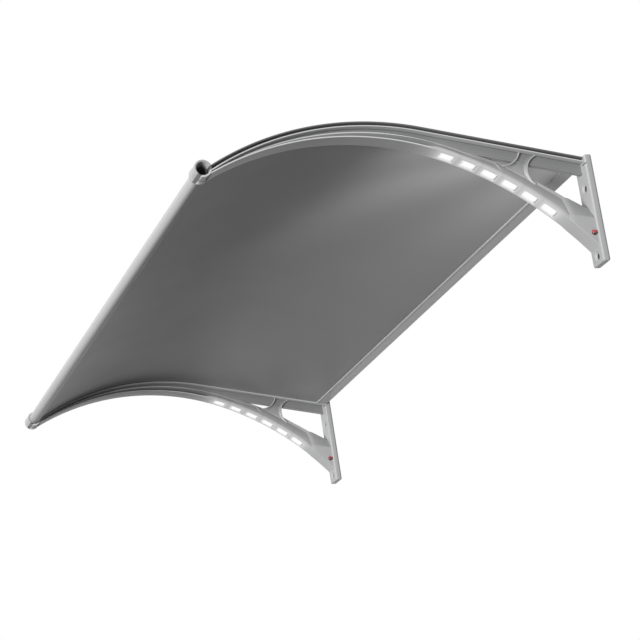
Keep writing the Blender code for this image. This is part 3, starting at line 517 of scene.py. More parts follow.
def recessShade(paint):
    # painted shade: 1 in the hollow under the rail's lip; painted highlight: 1 on the edges that catch the light
    x, y, z = paint.place()
    across = paint.fromBracket(x)
    out = paint.times(y, -1.0)
    tangent = railPoint(-line["slope"])
    normal = pointing(-line["slope"])
    straight = paint.plus(paint.times(out, normal.x), paint.times(z, normal.y))
    straight = paint.minus(straight, tangent.dot(normal))

    def aboveArc(centre, radius):
        side = paint.minus(out, centre.x)
        rise = paint.minus(z, centre.y)
        reach = paint.length(side, rise)
        return paint.minus(reach, radius)

    curved = aboveArc(railCentre, line["radius"])
    bent = paint.sum("GREATER_THAN", out, tangent.x)
    lift = paint.plus(straight, paint.times(bent, paint.minus(curved, straight)))
    overArm = aboveArc(armCentre(line["frontRadius"]), line["frontRadius"])
    roofTop = rail["groove"] + rail["roof"]
    groove = paint.times(paint.ramp(lift, 0.0, 0.0006, 0.0, 1.0),
                         paint.ramp(lift, roofTop - 0.0008, roofTop - 0.0003, 1.0, 0.0))
    depth = paint.ramp(lift, -recess["fade"], -rail["lip"] - 0.004, 0.0, 1.0)
    below = paint.ramp(lift, -rail["lip"] + 0.0002, -rail["lip"] + 0.0008, 1.0, 0.0)
    inside = paint.ramp(across, recess["half"] - 0.0006, recess["half"], 1.0, 0.0)
    top = paint.ramp(out, *recess["rimOut"], *recess["rimTop"], False)
    fromTop = paint.sum("ABSOLUTE", paint.minus(overArm, paint.minus(top, recess["rimLine"])))
    offRim = paint.ramp(fromTop, recess["rimLine"], recess["rimLine"] * 1.6, 0.0, 1.0)
    offRim = paint.sum("MAXIMUM", offRim, paint.sum("LESS_THAN", across, rail["web"] / 2.0 + 0.0003))
    offFlange = paint.ramp(overArm, 0.0024, 0.0032, 0.0, 1.0)
    clear = paint.ramp(out, plate["thick"], plate["thick"] + 0.002, 0.0, 1.0)
    front = paint.times(offRim, offFlange)
    hollow = paint.times(paint.times(depth, below), paint.times(inside, front))
    shade = paint.times(clear, paint.sum("MAXIMUM", hollow, paint.times(groove, recess["groove"])))

    lipHalf, flangeHalf = rail["width"] / 2.0, arm["width"] / 2.0
    lipEdge = paint.times(paint.ramp(lift, -rail["lip"] + 0.0004, -rail["lip"] + 0.0010, 0.0, 1.0),
                        paint.ramp(lift, -0.0002, 0.0003, 1.0, 0.0))
    lipEdge = paint.times(lipEdge, paint.ramp(across, lipHalf - 0.0012, lipHalf - 0.0004, 0.0, 1.0))
    flange = paint.times(paint.ramp(overArm, 0.0003, 0.0008, 0.0, 1.0),
                       paint.ramp(overArm, 0.0024, 0.0030, 1.0, 0.0))
    flange = paint.times(flange, paint.ramp(across, flangeHalf - 0.0012, flangeHalf - 0.0004, 0.0, 1.0))
    slim = paint.sum("MAXIMUM", flange, paint.minus(1.0, offRim))
    slim = paint.times(slim, paint.ramp(out, recess["rimOut"][0] - 0.02, recess["rimOut"][0], 0.0, 1.0))
    lines = paint.times(clear, paint.sum("MAXIMUM", lipEdge, slim))
    return shade, lines


def undersideShade(paint):
    # painted shade: 1 on the underside of the arm's slim front part
    x, y, z = paint.place()
    out = paint.times(y, -1.0)
    centre = armCentre(line["frontRadius"])
    side, rise = paint.minus(out, centre.x), paint.minus(z, centre.y)
    reach = paint.length(side, rise)
    low = paint.ramp(paint.minus(reach, line["frontRadius"]), 0.0004, 0.0008, 1.0, 0.0)
    near = paint.times(paint.ramp(out, 0.262, 0.330, 0.0, 1.0), paint.ramp(out, 0.46, 0.60, 1.0, 0.0))
    return paint.times(low, near)


def plateShade(paint):
    # painted shade: 1 inside the plate's screw holes, and part of it along the plate's wall edge
    x, y, z = paint.place()
    across = paint.minus(paint.sum("ABSOLUTE", x), halfSpacing)
    out = paint.times(y, -1.0)
    rises = [paint.sum("ABSOLUTE", paint.minus(z, up)) for up in plate["holes"]]
    rise = paint.sum("MINIMUM", rises[0], rises[1])
    reach = paint.length(across, rise)
    hole = paint.ramp(reach, plate["hole"] / 2.0 + 0.0010, plate["hole"] / 2.0 + 0.0024, 0.92, 0.0)
    hole = paint.times(hole, paint.ramp(out, plate["thick"], plate["thick"] + 0.0005, 1.0, 0.0))
    edge = paint.ramp(out, 0.0024, 0.0042, 1.0 - finishesAndPaintedLight["wallEdgeShadeLevel"], 0.0)
    return paint.sum("MAXIMUM", hole, edge)


def bracketPaint(name="bracketPaint", paintedLight=True):
    item = finishesAndPaintedLight["bracket"]
    paint = Paint(name, item["colour"], item["roughness"], 0.0, item["specular"])
    grain = paint.noise(900.0, detail=2.0)
    cloud = paint.noise(14.0, detail=4.0)
    level = paint.ramp(cloud, 0.0, 1.0, 0.87, 0.95, False)
    # painted shade, painted highlight and painted lamplight, left off for the battery cover
    if paintedLight:
        # painted shade in the hollow under the lip and in the groove, painted highlight on the lip's and rims'
        # edges
        shade, lines = recessShade(paint)
        shade = paint.ramp(shade, 0.0, 2.0, 1.0, 2.0 * finishesAndPaintedLight["recessShadeLevel"] - 1.0, False)
        level = paint.times(level, shade)
        # painted shade in the screw holes and along the plate's wall edge
        level = paint.times(level, paint.minus(1.0, plateShade(paint)))
        # painted shade on the slim arm's underside
        under = paint.ramp(undersideShade(paint), 0.0, 1.0, 1.0, finishesAndPaintedLight["undersideShadeLevel"], False)
        level = paint.times(level, under)
        level = paint.times(level, paint.ramp(lines, 0.0, 1.0, 1.0, finishesAndPaintedLight["edgeHighlightLevel"], False))
    # the tint's factor stops at 1, so it runs up to the painted highlight's level on the edges
    paint.tint(paint.sum("DIVIDE", level, finishesAndPaintedLight["edgeHighlightLevel"]), 0.0, 1.1 * finishesAndPaintedLight["edgeHighlightLevel"])
    paint.rough(cloud, 0.05)
    paint.bump(grain, 0.06, 0.0002)
    if paintedLight:
        # painted lamplight: the bracket glows round each lit window, though it is no lamp
        distance = windowDistance(paint)
        fade = paint.sum("EXPONENT", paint.sum("DIVIDE", paint.times(distance, -1.0), finishesAndPaintedLight["haloReach"]))
        paint.glow(paint.times(fade, finishesAndPaintedLight["lensAndHaloGlow"]), (1.0, 0.995, 0.98))
    return paint.material


def lensPaint():
    paint = Paint("litLens", (0.50, 0.505, 0.51), 0.40, 0.0, 0.25)
    grain = paint.noise(420.0, detail=2.0)
    along, across, lift = windowPlace(paint)
    fromEnd = paint.minus(windows["length"] / 2.0, paint.sum("ABSOLUTE", along))
    fromSide = paint.minus(windows["width"] / 2.0, across)
    middle = paint.times(paint.ramp(fromEnd, -0.0010, 0.0085), paint.ramp(fromSide, -0.0010, 0.0105))
    # painted shadow of the pocket's wall-side end, darkening the lens's colour and glow
    shadow = paint.ramp(along, windows["length"] / 2.0 - 0.0032, windows["length"] / 2.0 - 0.0010)
    clear = paint.minus(1.0, paint.times(shadow, 0.55))
    paint.tint(paint.times(clear, paint.ramp(grain, 0.0, 1.0, 0.95, 1.0, False)), 0.0, 1.0)
    paint.rough(grain, 0.04)
    level = paint.plus(finishesAndPaintedLight["lensAndHaloGlow"], paint.times(middle, finishesAndPaintedLight["lampCore"]))
    level = paint.times(level, clear)
    paint.glow(level, (1.0, 0.995, 0.985))
    return paint.material


def belowSheet(paint):
    # height over the sheet's middle, so that the painted lamplight lies on its underside alone
    x, y, z = paint.place()
    out = paint.times(y, -1.0)
    lift = panel["gap"] + panel["thick"] / 2.0
    side, rise = paint.minus(out, railCentre.x), paint.minus(z, railCentre.y)
    reach = paint.length(side, rise)
    curved = paint.minus(reach, line["radius"] + lift)
    tangent, normal = railPoint(-line["slope"], lift), pointing(-line["slope"])
    straight = paint.plus(paint.times(out, normal.x), paint.times(z, normal.y))
    straight = paint.minus(straight, tangent.dot(normal))
    bent = paint.sum("GREATER_THAN", out, tangent.x)
    return paint.plus(straight, paint.times(bent, paint.minus(curved, straight)))


def panelPaint():
    item = finishesAndPaintedLight["panel"]
    paint = Paint("smokeSheet", item["colour"], item["roughness"], 0.0, item["specular"])
    x, y, z = paint.place()
    fine = paint.noise(260.0, (0.06, 1.0, 1.0), 3.0)
    cloud = paint.noise(1.6, (1.0, 1.0, 1.0), 1.0)
    out = paint.times(y, -1.0)
    level = paint.plus(0.90, paint.plus(paint.times(fine, 0.06), paint.times(cloud, 0.06)))
    # painted shade: the sheet darker towards its front
    paint.tint(paint.times(level, paint.ramp(out, 0.30, 0.52, 1.0, 0.71)), 0.0, 1.05)

    # painted lamplight that falls off with distance and fans out in soft painted rays from the lit windows
    low, high = item["lampOut"]
    past = paint.minus(out, paint.sum("MINIMUM", paint.sum("MAXIMUM", out, low), high))
    total = 0.0
    for sign, strength in zip((-1.0, 1.0), item["lampLevel"]):
        side = paint.minus(halfSpacing, paint.times(x, sign))
        reach = paint.length(side, past)
        light = paint.sum("EXPONENT", paint.sum("DIVIDE", reach, -item["lampReach"]))
        ahead = paint.minus(out, paint.times(side, item["lampSlant"]))
        light = paint.times(light, paint.ramp(ahead, *item["lampAhead"], 1.0, 0.0))
        turn = paint.sum("ARCTAN2", paint.minus(out, low), paint.plus(side, 0.12))
        rays = paint.sum("SINE", paint.times(turn, item["rayCount"]))
        rays = paint.plus(1.0, paint.times(rays, item["rayDepth"]))
        total = paint.plus(total, paint.times(paint.times(light, rays), strength))
    paint.glow(paint.times(total, paint.sum("LESS_THAN", belowSheet(paint), 0.0)), (1.0, 0.995, 0.99))
    paint.rough(paint.noise(8.0), 0.05)
    paint.bump(paint.noise(700.0, detail=2.0), 0.03, 0.0001)
    return paint.material


def barPaint(name, key, stretch, shade=None):
    # drawn metal with faint streaks along its length, and painted shade towards one side when a shade is given
    item = finishesAndPaintedLight[key]
    paint = Paint(name, item["colour"], item["roughness"], item["metallic"], item["specular"])
    streak = paint.noise(420.0, stretch, 4.0)
    cloud = paint.noise(9.0, (0.4, 1.0, 1.0), 2.0)
    level = paint.plus(paint.times(streak, 0.09), paint.times(cloud, 0.09))
    level = paint.plus(0.82, level)
    if shade is not None:
        level = paint.times(level, paint.ramp(paint.place()[1], *shade))
    paint.tint(level, 0.0, 1.1)
    paint.rough(streak, 0.06)
    paint.bump(streak, 0.05, 0.0001)
    return paint.material


def plainPaint(name, colour, roughness, metallic=0.0, scale=300.0, stretch=(1.0, 1.0, 1.0), spread=0.08,
               depth=0.1):
    paint = Paint(name, colour, roughness, metallic)
    grain = paint.noise(scale, stretch, 3.0)
    paint.tint(grain, 1.0 - spread, 1.0 + spread)
    paint.rough(grain, 0.05)
    paint.bump(grain, depth, 0.0001)
    return paint.material


def buttonPaint():
    paint = Paint("redButton", (0.60, 0.035, 0.055), 0.16)
    x, y, z = paint.place()
    height = paint.minus(x, paint.times(paint.sum("SIGN", x), halfSpacing))
    # red on the crown and near black towards the housing; painted shade makes the lower side near black too
    crown = paint.ramp(height, 0.0192, 0.0203, 0.0, 1.0)
    upper = paint.ramp(z, button["up"] - 0.0022, button["up"] + 0.0010, 0.03, 1.0)
    crown = paint.times(crown, upper)
    paint.tint(paint.times(crown, paint.ramp(paint.noise(350.0), 0.0, 1.0, 0.92, 1.0, False)), 0.03, 1.0)
    paint.shader.inputs["Coat Weight"].default_value = 0.5
    paint.shader.inputs["Coat Roughness"].default_value = 0.08
    return paint.material


# bracket

plate = {"width": 0.044, "height": 0.186, "thick": 0.013, "edge": 0.003, "holes": (0.014, 0.132),
         "hole": 0.007,
         "mouth": 0.018, "mouthDepth": 0.0045, "ventUp": 0.1702, "ventHeight": 0.0026, "ventDepth": 0.0035}
rail = {"width": 0.036, "lip": 0.0022, "groove": 0.0041, "roof": 0.0026, "core": 0.014, "web": 0.008,
        "webDepth": 0.018,
        "bead": 0.011, "beadHeight": 0.0025, "beadEnd": 0.208}
arm = {"width": 0.0356, "nose": math.radians(26.8), "root": math.radians(-45.0), "steps": 150,
       # out, side height, height where the slope meets the rim, rim height, rim half width
       "sections": ((0.030, 0.0075, 0.0310, 0.0370, 0.0060), (0.062, 0.0065, 0.0300, 0.0362, 0.0060),
                    (0.105, 0.0060, 0.0250, 0.0305, 0.0058), (0.170, 0.0060, 0.0205, 0.0255, 0.0056),
                    (0.225, 0.0060, 0.0145, 0.0195, 0.0054), (0.268, 0.0060, 0.0120, 0.0182, 0.0054),
                    (0.286, 0.0026, 0.0036, 0.0175, 0.0060), (0.361, 0.0026, 0.0034, 0.0157, 0.0062),
                    (0.505, 0.0026, 0.0032, 0.0100, 0.0062), (0.700, 0.0026, 0.0030, 0.0050, 0.0050))}
housing = {"width": 0.038, "out": 0.058, "sideUp": (0.075, 0.084), "ridgeUp": (0.0957, 0.1222),
           "ridge": (0.006, 0.011), "hollowOut": (0.010, 0.047), "hollowTop": (0.072, 0.079),
           "hollowWidth": 0.031, "hollowFloor": 0.0035}
# painted shade in the hollow under the lip: how far down it fades out, its half width, and the painted highlight
# line of the arm's rim
recess = {"fade": 0.050, "half": 0.0080, "groove": 1.35, "rimOut": (0.286, 0.640),
          "rimTop": (0.0180, 0.0050), "rimLine": 0.0008}
strut = {"width": 0.017, "wall": 0.0072, "rim": 0.0020, "flare": 0.0085, "foot": 0.0068,
         # height over the arm's underside, half width
         "root": ((0.0215, 0.0074), (0.0150, 0.0118), (0.0110, 0.0140)),
         "rear": ((0.083, 0.165), 0.028, 88.0, -50.0), "front": ((0.152, 0.209), 0.031, 275.0, 185.0)}
ring = {"bore": 0.0113, "lip": 0.0147, "lipEnd": 0.0145, "radius": 0.0137, "collar": 0.0150,
        "collarAt": (-0.0115, -0.0170), "mouth": 0.0185, "spigot": 0.0127}
cover = {"out": (0.0142, 0.055), "top": (0.0730, 0.0810), "margin": 0.0025, "thick": 0.0020, "gap": 0.0003,
         "ledge": 0.0020, "screw": (0.051, 0.0763)}
button = {"out": 0.0185, "up": 0.050, "radius": 0.0045, "dome": 0.0030, "gap": 0.0004, "rim": 0.0196,
          "skirt": 0.0152, "travel": 0.0015}


def sectionAt(out):
    table = arm["sections"]
    if out <= table[0][0]:
        return table[0][1:]
    for lower, upper in zip(table, table[1:]):
        if out <= upper[0]:
            share = (out - lower[0]) / (upper[0] - lower[0])
            share = share * share * (3.0 - 2.0 * share) if upper[0] - lower[0] < 0.03 else share
            return tuple(a + (b - a) * share for a, b in zip(lower[1:], upper[1:]))
    return table[-1][1:]


def makePlate():
    half = plate["width"] / 2.0
    bm = bmesh.new()
    bmesh.ops.create_cube(bm, size=1.0)
    bmesh.ops.scale(bm, vec=(plate["width"], plate["thick"], plate["height"]), verts=bm.verts)
    bmesh.ops.translate(bm, vec=(0.0, -plate["thick"] / 2.0, plate["height"] / 2.0), verts=bm.verts)
    bmesh.ops.bevel(bm, geom=list(bm.edges), offset=plate["edge"], segments=5, profile=0.5, affect="EDGES")
    item = fromBmesh("plate", bm)
    tools = []
    for up in plate["holes"]:
        tools.append(rod("hole", (0.0, -plate["thick"] / 2.0, up), plate["hole"] / 2.0, 0.03, "Y"))
        over = 0.001
        slope = (plate["mouth"] - plate["hole"]) / 2.0 / plate["mouthDepth"]
        tools.append(rod("mouth", (0.0, -plate["thick"] + plate["mouthDepth"] / 2.0, up),
                         plate["hole"] / 2.0 - slope * over, plate["mouthDepth"] + 2.0 * over, "Y",
                         plate["mouth"] / 2.0 + slope * over))
    low, high = plate["ventUp"] - plate["ventHeight"] / 2.0, plate["ventUp"] + plate["ventHeight"] / 2.0
    front = plate["thick"]
    back = front - plate["ventDepth"]
    outline = [(back, low), (front + 0.002, low), (front + 0.002, high), (back, high)]
    tools.append(prism("vent", outline, rail["web"] / 2.0 + 0.0005, half + 0.01))
    return item, tools


def bandSection(halfWidth, low, high, radius):
    return roundOff([(halfWidth, low), (halfWidth, high), (-halfWidth, high), (-halfWidth, low)], radius, 3)


def makeRail():
    start = plate["thick"] * 0.6
    half = rail["width"] / 2.0
    stations = railStations(start, ringAngle, 130)
    lip = sweepBand("lip", bandSection(half, -rail["lip"], 0.0, 0.0006), stations)
    low, high = rail["groove"], rail["groove"] + rail["roof"]
    roof = sweepBand("roof", bandSection(half, low, high, 0.0007), stations)
    wide, under, over = rail["core"] / 2.0, -0.001, 0.0054
    core = sweepBand("core", [(wide, under), (wide, over), (-wide, over), (-wide, under)],
                     railStations(start, ringAngle - 0.004, 130))
    return [lip, roof, core]


def makeWeb():
    # wall under the rail: down to the bead at the rear, down to the arm in front
    half = rail["web"] / 2.0
    rings = []
    steps = 120
    startOut, endOut = plate["thick"] * 0.75, railPoint(ringAngle - 0.012).x
    for step in range(steps + 1):
        out = startOut + (endOut - startOut) * step / steps
        tangentOut = railPoint(-line["slope"]).x
        if out < tangentOut:
            top = railRear(out, -rail["lip"] / 2.0)
        else:
            top = railPoint(math.asin((out - railCentre.x) / line["radius"]), -rail["lip"] / 2.0)
        rearLow = railRear(out).y - rail["webDepth"] / math.cos(line["slope"])
        armLow = armTop(min(out, 0.6505), 0.0012).y
        share = min(max((out - rail["beadEnd"] + 0.004) / 0.010, 0.0), 1.0)
        low = rearLow + (armLow - rearLow) * share
        low = min(low, top.y - 0.001)
        rings.append([(half, -out, top.y), (half * 1.05, -out, (top.y + low) / 2.0), (half, -out, low),
                      (-half, -out, low), (-half * 1.05, -out, (top.y + low) / 2.0), (-half, -out, top.y)])
    web = loft("web", rings)
    beadSteps = 24
    stations = []
    for step in range(beadSteps + 1):
        out = plate["thick"] * 0.65 + (rail["beadEnd"] + 0.003 - plate["thick"] * 0.65) * step / beadSteps
        stations.append((railRear(out), -line["slope"]))
    low = -rail["webDepth"] - rail["beadHeight"] / 2.0
    section = bandSection(rail["bead"] / 2.0, low, low + rail["beadHeight"], 0.0009)
    bead = sweepBand("bead", section, stations)
    return [web, bead]


def makeArm():
    rings = []
    half = arm["width"] / 2.0
    for step in range(arm["steps"] + 1):
        angle = arm["root"] + (arm["nose"] - arm["root"]) * step / arm["steps"]
        side, slopeTop, rimTop, rimHalf = sectionAt(armPoint(angle).x)
        corners = [(half, 0.0), (half, side), (rimHalf, slopeTop), (rimHalf, rimTop)]
        corners += [(-x, lift) for x, lift in reversed(corners)]
        soft = min(max((0.268 - armPoint(angle).x) / 0.05, 0.0), 1.0)
        shoulder, foot = 0.0007 + 0.0055 * soft, 0.0008
        radii = [foot, shoulder, 0.0022, 0.0008, 0.0008, 0.0022, shoulder, foot]
        section = roundOff(corners, radii, 4)
        ringPoints = []
        for x, lift in section:
            point = armPoint(angle, lift)
            ringPoints.append((x, -point.x, point.y))
        rings.append(ringPoints)
    return loft("arm", rings)


def makeHousing():
    rings = []
    steps = 40
    half = housing["width"] / 2.0
    start = plate["thick"] * 0.7
    for step in range(steps + 1):
        out = start + (housing["out"] + 0.004 - start) * step / steps
        share = (out - plate["thick"]) / (housing["out"] - plate["thick"])
        # the front end sinks into the arm
        tail = max(0.0, (out - housing["out"] + 0.012) / 0.016) ** 2
        floor = armTop(out, 0.0).y - 0.0004 * (1.0 - tail)
        sideUp, ridgeUp, ridge = (housing[part][0] + (housing[part][1] - housing[part][0]) * share
                                  for part in ("sideUp", "ridgeUp", "ridge"))
        sideUp, ridgeUp, ridgeHalf = sideUp - 0.006 * tail, ridgeUp - 0.009 * tail, ridge / 2.0
        wide = half - 0.0022 * tail
        corners = [(wide, floor), (wide, sideUp), (ridgeHalf, ridgeUp)]
        corners += [(-x, up) for x, up in reversed(corners)]
        belly = 0.0010
        section = roundOff(corners, [belly, 0.0040, 0.0022, 0.0022, 0.0040, belly], 6)
        rings.append([(x, -out, up) for x, up in section])
    return loft("housing", rings)


def arcPoints(centre, radius, start, end, steps):
    points = []
    for step in range(steps + 1):
        angle = math.radians(start + (end - start) * step / steps)
        points.append(Vector((centre[0] + radius * math.cos(angle), centre[1] + radius * math.sin(angle))))
    return points


def underRail(point, limit=-0.0008):
    # a point that would show above the lip is laid into it
    rise = (point - railRear(0.0)).dot(pointing(-line["slope"]))
    return point - max(rise - limit, 0.0) * pointing(-line["slope"])


def makeStrut():
    pieces = []
    half, wall = strut["width"] / 2.0, strut["wall"] / 2.0
    rim, flare = strut["rim"], strut["flare"]
    profile = [(0.0, half - 0.0007), (0.0007, half), (rim, half), (rim + 0.0004, half - 0.0008)]
    for step in range(1, 7):
        share = step / 6.0
        profile.append((rim + 0.0004 + (flare - rim) * share,
                        wall + (half - 0.0008 - wall) * (1.0 - share) ** 2.2))
    profile += [(depth, -x) for depth, x in reversed(profile)]
    lines = []
    for centre, radius, start, end in (strut["rear"], strut["front"]):
        rings = []
        steps = 40
        for step in range(steps + 1):
            angle = math.radians(start + (end - start) * step / steps)
            ray = Vector((math.cos(angle), math.sin(angle)))
            ringPoints = []
            for depth, x in profile:
                point = underRail(Vector(centre) + (radius + depth) * ray)
                ringPoints.append((x, -point.x, point.y))
            rings.append(ringPoints)
        pieces.append(loft("strutRim", rings))
        lines.append(arcPoints(centre, radius + flare - 0.001, start, end, 30))
    rear, front = lines
    rings = []
    for index, (low, high) in enumerate(zip(rear, reversed(front))):
        a, b = underRail(low, -0.0014), underRail(high, -0.0014)
        wide = wall + (strut["foot"] - wall) * (index / (len(rear) - 1.0)) ** 2.5
        rings.append([(wide, -a.x, a.y), (wide, -b.x, b.y), (-wide, -b.x, b.y), (-wide, -a.x, a.y)])
    for lift, wide in strut["root"]:
        a, b = (armTop(point.x + lift, lift) for point in (rear[-1], front[0]))
        rings.append([(wide, -a.x, a.y), (wide, -b.x, b.y), (-wide, -b.x, b.y), (-wide, -a.x, a.y)])
    pieces.append(loft("strutWall", rings))
    return pieces


def makeRing():
    centre = railPoint(ringAngle, line["ringLift"])
    bore, outer, mouth, spigot = ring["bore"], ring["radius"], ring["mouth"], ring["spigot"]
    lip, lipEnd, collar, (front, back) = ring["lip"], ring["lipEnd"], ring["collar"], ring["collarAt"]
    corners = [(bore, mouth), (lip, mouth), (lip, lipEnd), (outer, lipEnd - 0.0008), (outer, front + 0.0008),
               (collar, front), (collar, back), (spigot, back), (spigot, -mouth), (bore, -mouth)]
    radii = [0.0006, 0.0010, 0.0008, 0.0006, 0.0006, 0.0010, 0.0010, 0.0004, 0.0006, 0.0003]
    profile = roundOff(corners, radii, 3)
    profile.append(profile[0])
    item = lathe("ring", profile, 96, (0.0, -centre.x, centre.y))
    tool = rod("bore", (0.0, -centre.x, centre.y), bore, 0.08, "X", segments=96)
    return item, tool


def hollowOutline(outs, tops, floor, steps=14):
    points = []
    for step in range(steps + 1):
        angle = armAngle(outs[0] + (outs[1] - outs[0]) * step / steps)
        point = armPoint(angle)
        points.append((point.x, point.y + floor / math.cos(angle)))
    return points + [(outs[1], tops[1]), (outs[0], tops[0])]


def windowTools():
    tools = []
    for index in range(windows["count"]):
        angle = -line["jointSlope"] - index * windows["pitch"] / line["rearRadius"]
        halfLength, halfWidth = windows["length"] / 2.0, windows["width"] / 2.0
        plan = roundOff([(halfWidth, -halfLength), (halfWidth, halfLength), (-halfWidth, halfLength),
                         (-halfWidth, -halfLength)], windows["corner"], 5)
        point = armPoint(angle)
        turn = Matrix.Translation((0.0, -point.x, point.y)) @ Matrix.Rotation(angle, 4, "X")
        tools.append(loft("window", [[turn @ Vector((x, y, lift)) for x, y in plan]
                                     for lift in (-0.002, windows["depth"])]))
    return tools


def makeBrackets():
    plateItem, plateTools = makePlate()
    ringItem, bore = makeRing()
    half = housing["width"] / 2.0
    hollow = prism("hollow", hollowOutline(housing["hollowOut"], housing["hollowTop"], housing["hollowFloor"]),
                   -housing["hollowWidth"] / 2.0, housing["hollowWidth"] / 2.0)
    gap, ledge = cover["gap"], cover["ledge"]
    (rearOut, frontOut), (rearTop, frontTop) = cover["out"], cover["top"]
    outline = hollowOutline((rearOut - gap, frontOut + gap), (rearTop + gap, frontTop + gap),
                            cover["margin"] - gap)
    seat = prism("seat", outline, -half - 0.001, -half + cover["thick"] + gap)
    outline = hollowOutline((rearOut + ledge, housing["hollowOut"][1] - 0.001),
                            (rearTop - ledge, housing["hollowTop"][1] - 0.001), cover["margin"] + ledge)
    way = prism("way", outline, -half - 0.001, -housing["hollowWidth"] / 2.0 + 0.001)
    screwPlace = (-half + 0.0043, -cover["screw"][0], cover["screw"][1])
    screwHole = rod("screwHole", screwPlace, 0.00145, 0.0107, "X")
    buttonPlace = (half - 0.002, -button["out"], button["up"])
    buttonHole = rod("buttonHole", buttonPlace, button["radius"] + button["gap"], 0.008, "X")
    inner = [hollow, seat, way, screwHole, buttonHole]
    channelFirst = -line["jointSlope"] + 0.0168 / line["frontRadius"]
    channelLast = armAngle(0.043)
    low = [armPoint(channelFirst + (channelLast - channelFirst) * step / 30, 0.0028) for step in range(31)]
    high = [armPoint(channelLast + (channelFirst - channelLast) * step / 30, 0.0069) for step in range(31)]
    channel = prism("channel", low + high, -0.008, 0.008)
    wells = windowTools()

    pieces = [cut(plateItem, plateTools + [hollow]), cut(makeHousing(), inner),
              cut(makeArm(), [hollow, seat, way, buttonHole, channel] + wells + [bore])]
    web, bead = makeWeb()
    pieces += [cut(part, [bore]) for part in makeRail() + [web]]
    pieces += [bead, ringItem] + makeStrut()
    for tool in plateTools + inner + wells + [channel, bore]:
        bpy.data.objects.remove(tool, do_unlink=True)
    body = joined("bracketShape", pieces)
    soften(body)
    paint = bracketPaint()
    for side, sign in (("left", -1.0), ("right", 1.0)):
        piece = shifted(body, side + "Bracket", (sign * halfSpacing, 0.0, 0.0))
        dress(piece, paint, "canopy", [side + "_bracket_body"])
    bpy.data.objects.remove(body, do_unlink=True)
    print("brackets made")


# node trees

class Tree:
    # short hand for building a Geometry Nodes tree with named inputs
    def __init__(self, name, inputs):
        self.group = bpy.data.node_groups.new(name, "GeometryNodeTree")
        face = self.group.interface
        face.new_socket("Geometry", in_out="INPUT", socket_type="NodeSocketGeometry")
        self.kinds = {"float": "NodeSocketFloat", "int": "NodeSocketInt", "object": "NodeSocketObject",
                      "material": "NodeSocketMaterial"}
        for label, kind in inputs:
            face.new_socket(label, in_out="INPUT", socket_type=self.kinds[kind])
        face.new_socket("Geometry", in_out="OUTPUT", socket_type="NodeSocketGeometry")
        self.source = self.group.nodes.new("NodeGroupInput")
        self.target = self.group.nodes.new("NodeGroupOutput")

    def value(self, label):
        return self.source.outputs[label]

    def times(self, first, second):
        return self.sum("MULTIPLY", first, second)

    def plus(self, first, second):
        return self.sum("ADD", first, second)

    def minus(self, first, second):
        return self.sum("SUBTRACT", first, second)

    def node(self, kind, **settings):
        item = self.group.nodes.new(kind)
        for label, value in settings.items():
            setattr(item, label, value)
        return item

    def link(self, source, target):
        if isinstance(source, (int, float)):
            target.default_value = source
        else:
            self.group.links.new(source, target)

    def sum(self, operation, first, second=None):
        item = self.node("ShaderNodeMath", operation=operation)
        self.link(first, item.inputs[0])
        if second is not None:
            self.link(second, item.inputs[1])
        return item.outputs[0]

    def run(self, name, values):
        # plain mesh object of what the tree makes with these values
        item = newObject(name, bpy.data.meshes.new(name))
        change = item.modifiers.new("tree", "NODES")
        change.node_group = self.group
        sockets = {part.name: part.identifier for part in self.group.interface.items_tree
                   if part.item_type == "SOCKET" and part.in_out == "INPUT"}
        for label, value in values.items():
            change[sockets[label]] = value
        return applied(item)


def bendTree():
    # flat grid bent along the rails' line: a straight rear run, then an arc
    tree = Tree("bentSheet", [("Width", "float"), ("Length", "float"), ("Rear Run", "float"), ("Radius", "float"),
                              ("Centre Out", "float"), ("Centre Up", "float"), ("Slope", "float"),
                              ("Columns", "int"), ("Rows", "int"), ("Material", "material")])
    grid = tree.node("GeometryNodeMeshGrid")
    sizes = {"Size X": "Width", "Size Y": "Length", "Vertices X": "Columns", "Vertices Y": "Rows"}
    for label, name in sizes.items():
        tree.link(tree.value(name), grid.inputs[label])
    split = tree.node("ShaderNodeSeparateXYZ")
    tree.link(tree.node("GeometryNodeInputPosition").outputs[0], split.inputs[0])
    along = tree.plus(split.outputs[1], tree.times(tree.value("Length"), 0.5))
    past = tree.sum("MAXIMUM", tree.minus(along, tree.value("Rear Run")), 0.0)
    short = tree.sum("MAXIMUM", tree.minus(tree.value("Rear Run"), along), 0.0)
    angle = tree.minus(tree.sum("DIVIDE", past, tree.value("Radius")), tree.value("Slope"))
    out = tree.plus(tree.value("Centre Out"), tree.times(tree.value("Radius"), tree.sum("SINE", angle)))
    out = tree.minus(out, tree.times(short, tree.sum("COSINE", tree.value("Slope"))))
    up = tree.plus(tree.value("Centre Up"), tree.times(tree.value("Radius"), tree.sum("COSINE", angle)))
    up = tree.minus(up, tree.times(short, tree.sum("SINE", tree.value("Slope"))))
    place = tree.node("ShaderNodeCombineXYZ")
    for index, value in enumerate((split.outputs[0], tree.times(out, -1.0), up)):
        tree.link(value, place.inputs[index])
    move = tree.node("GeometryNodeSetPosition")
    tree.link(grid.outputs[0], move.inputs["Geometry"])
    tree.link(place.outputs[0], move.inputs["Position"])
    paint = tree.node("GeometryNodeSetMaterial")
    tree.link(move.outputs[0], paint.inputs["Geometry"])
    tree.link(tree.value("Material"), paint.inputs["Material"])
    tree.link(paint.outputs[0], tree.target.inputs[0])
    return tree


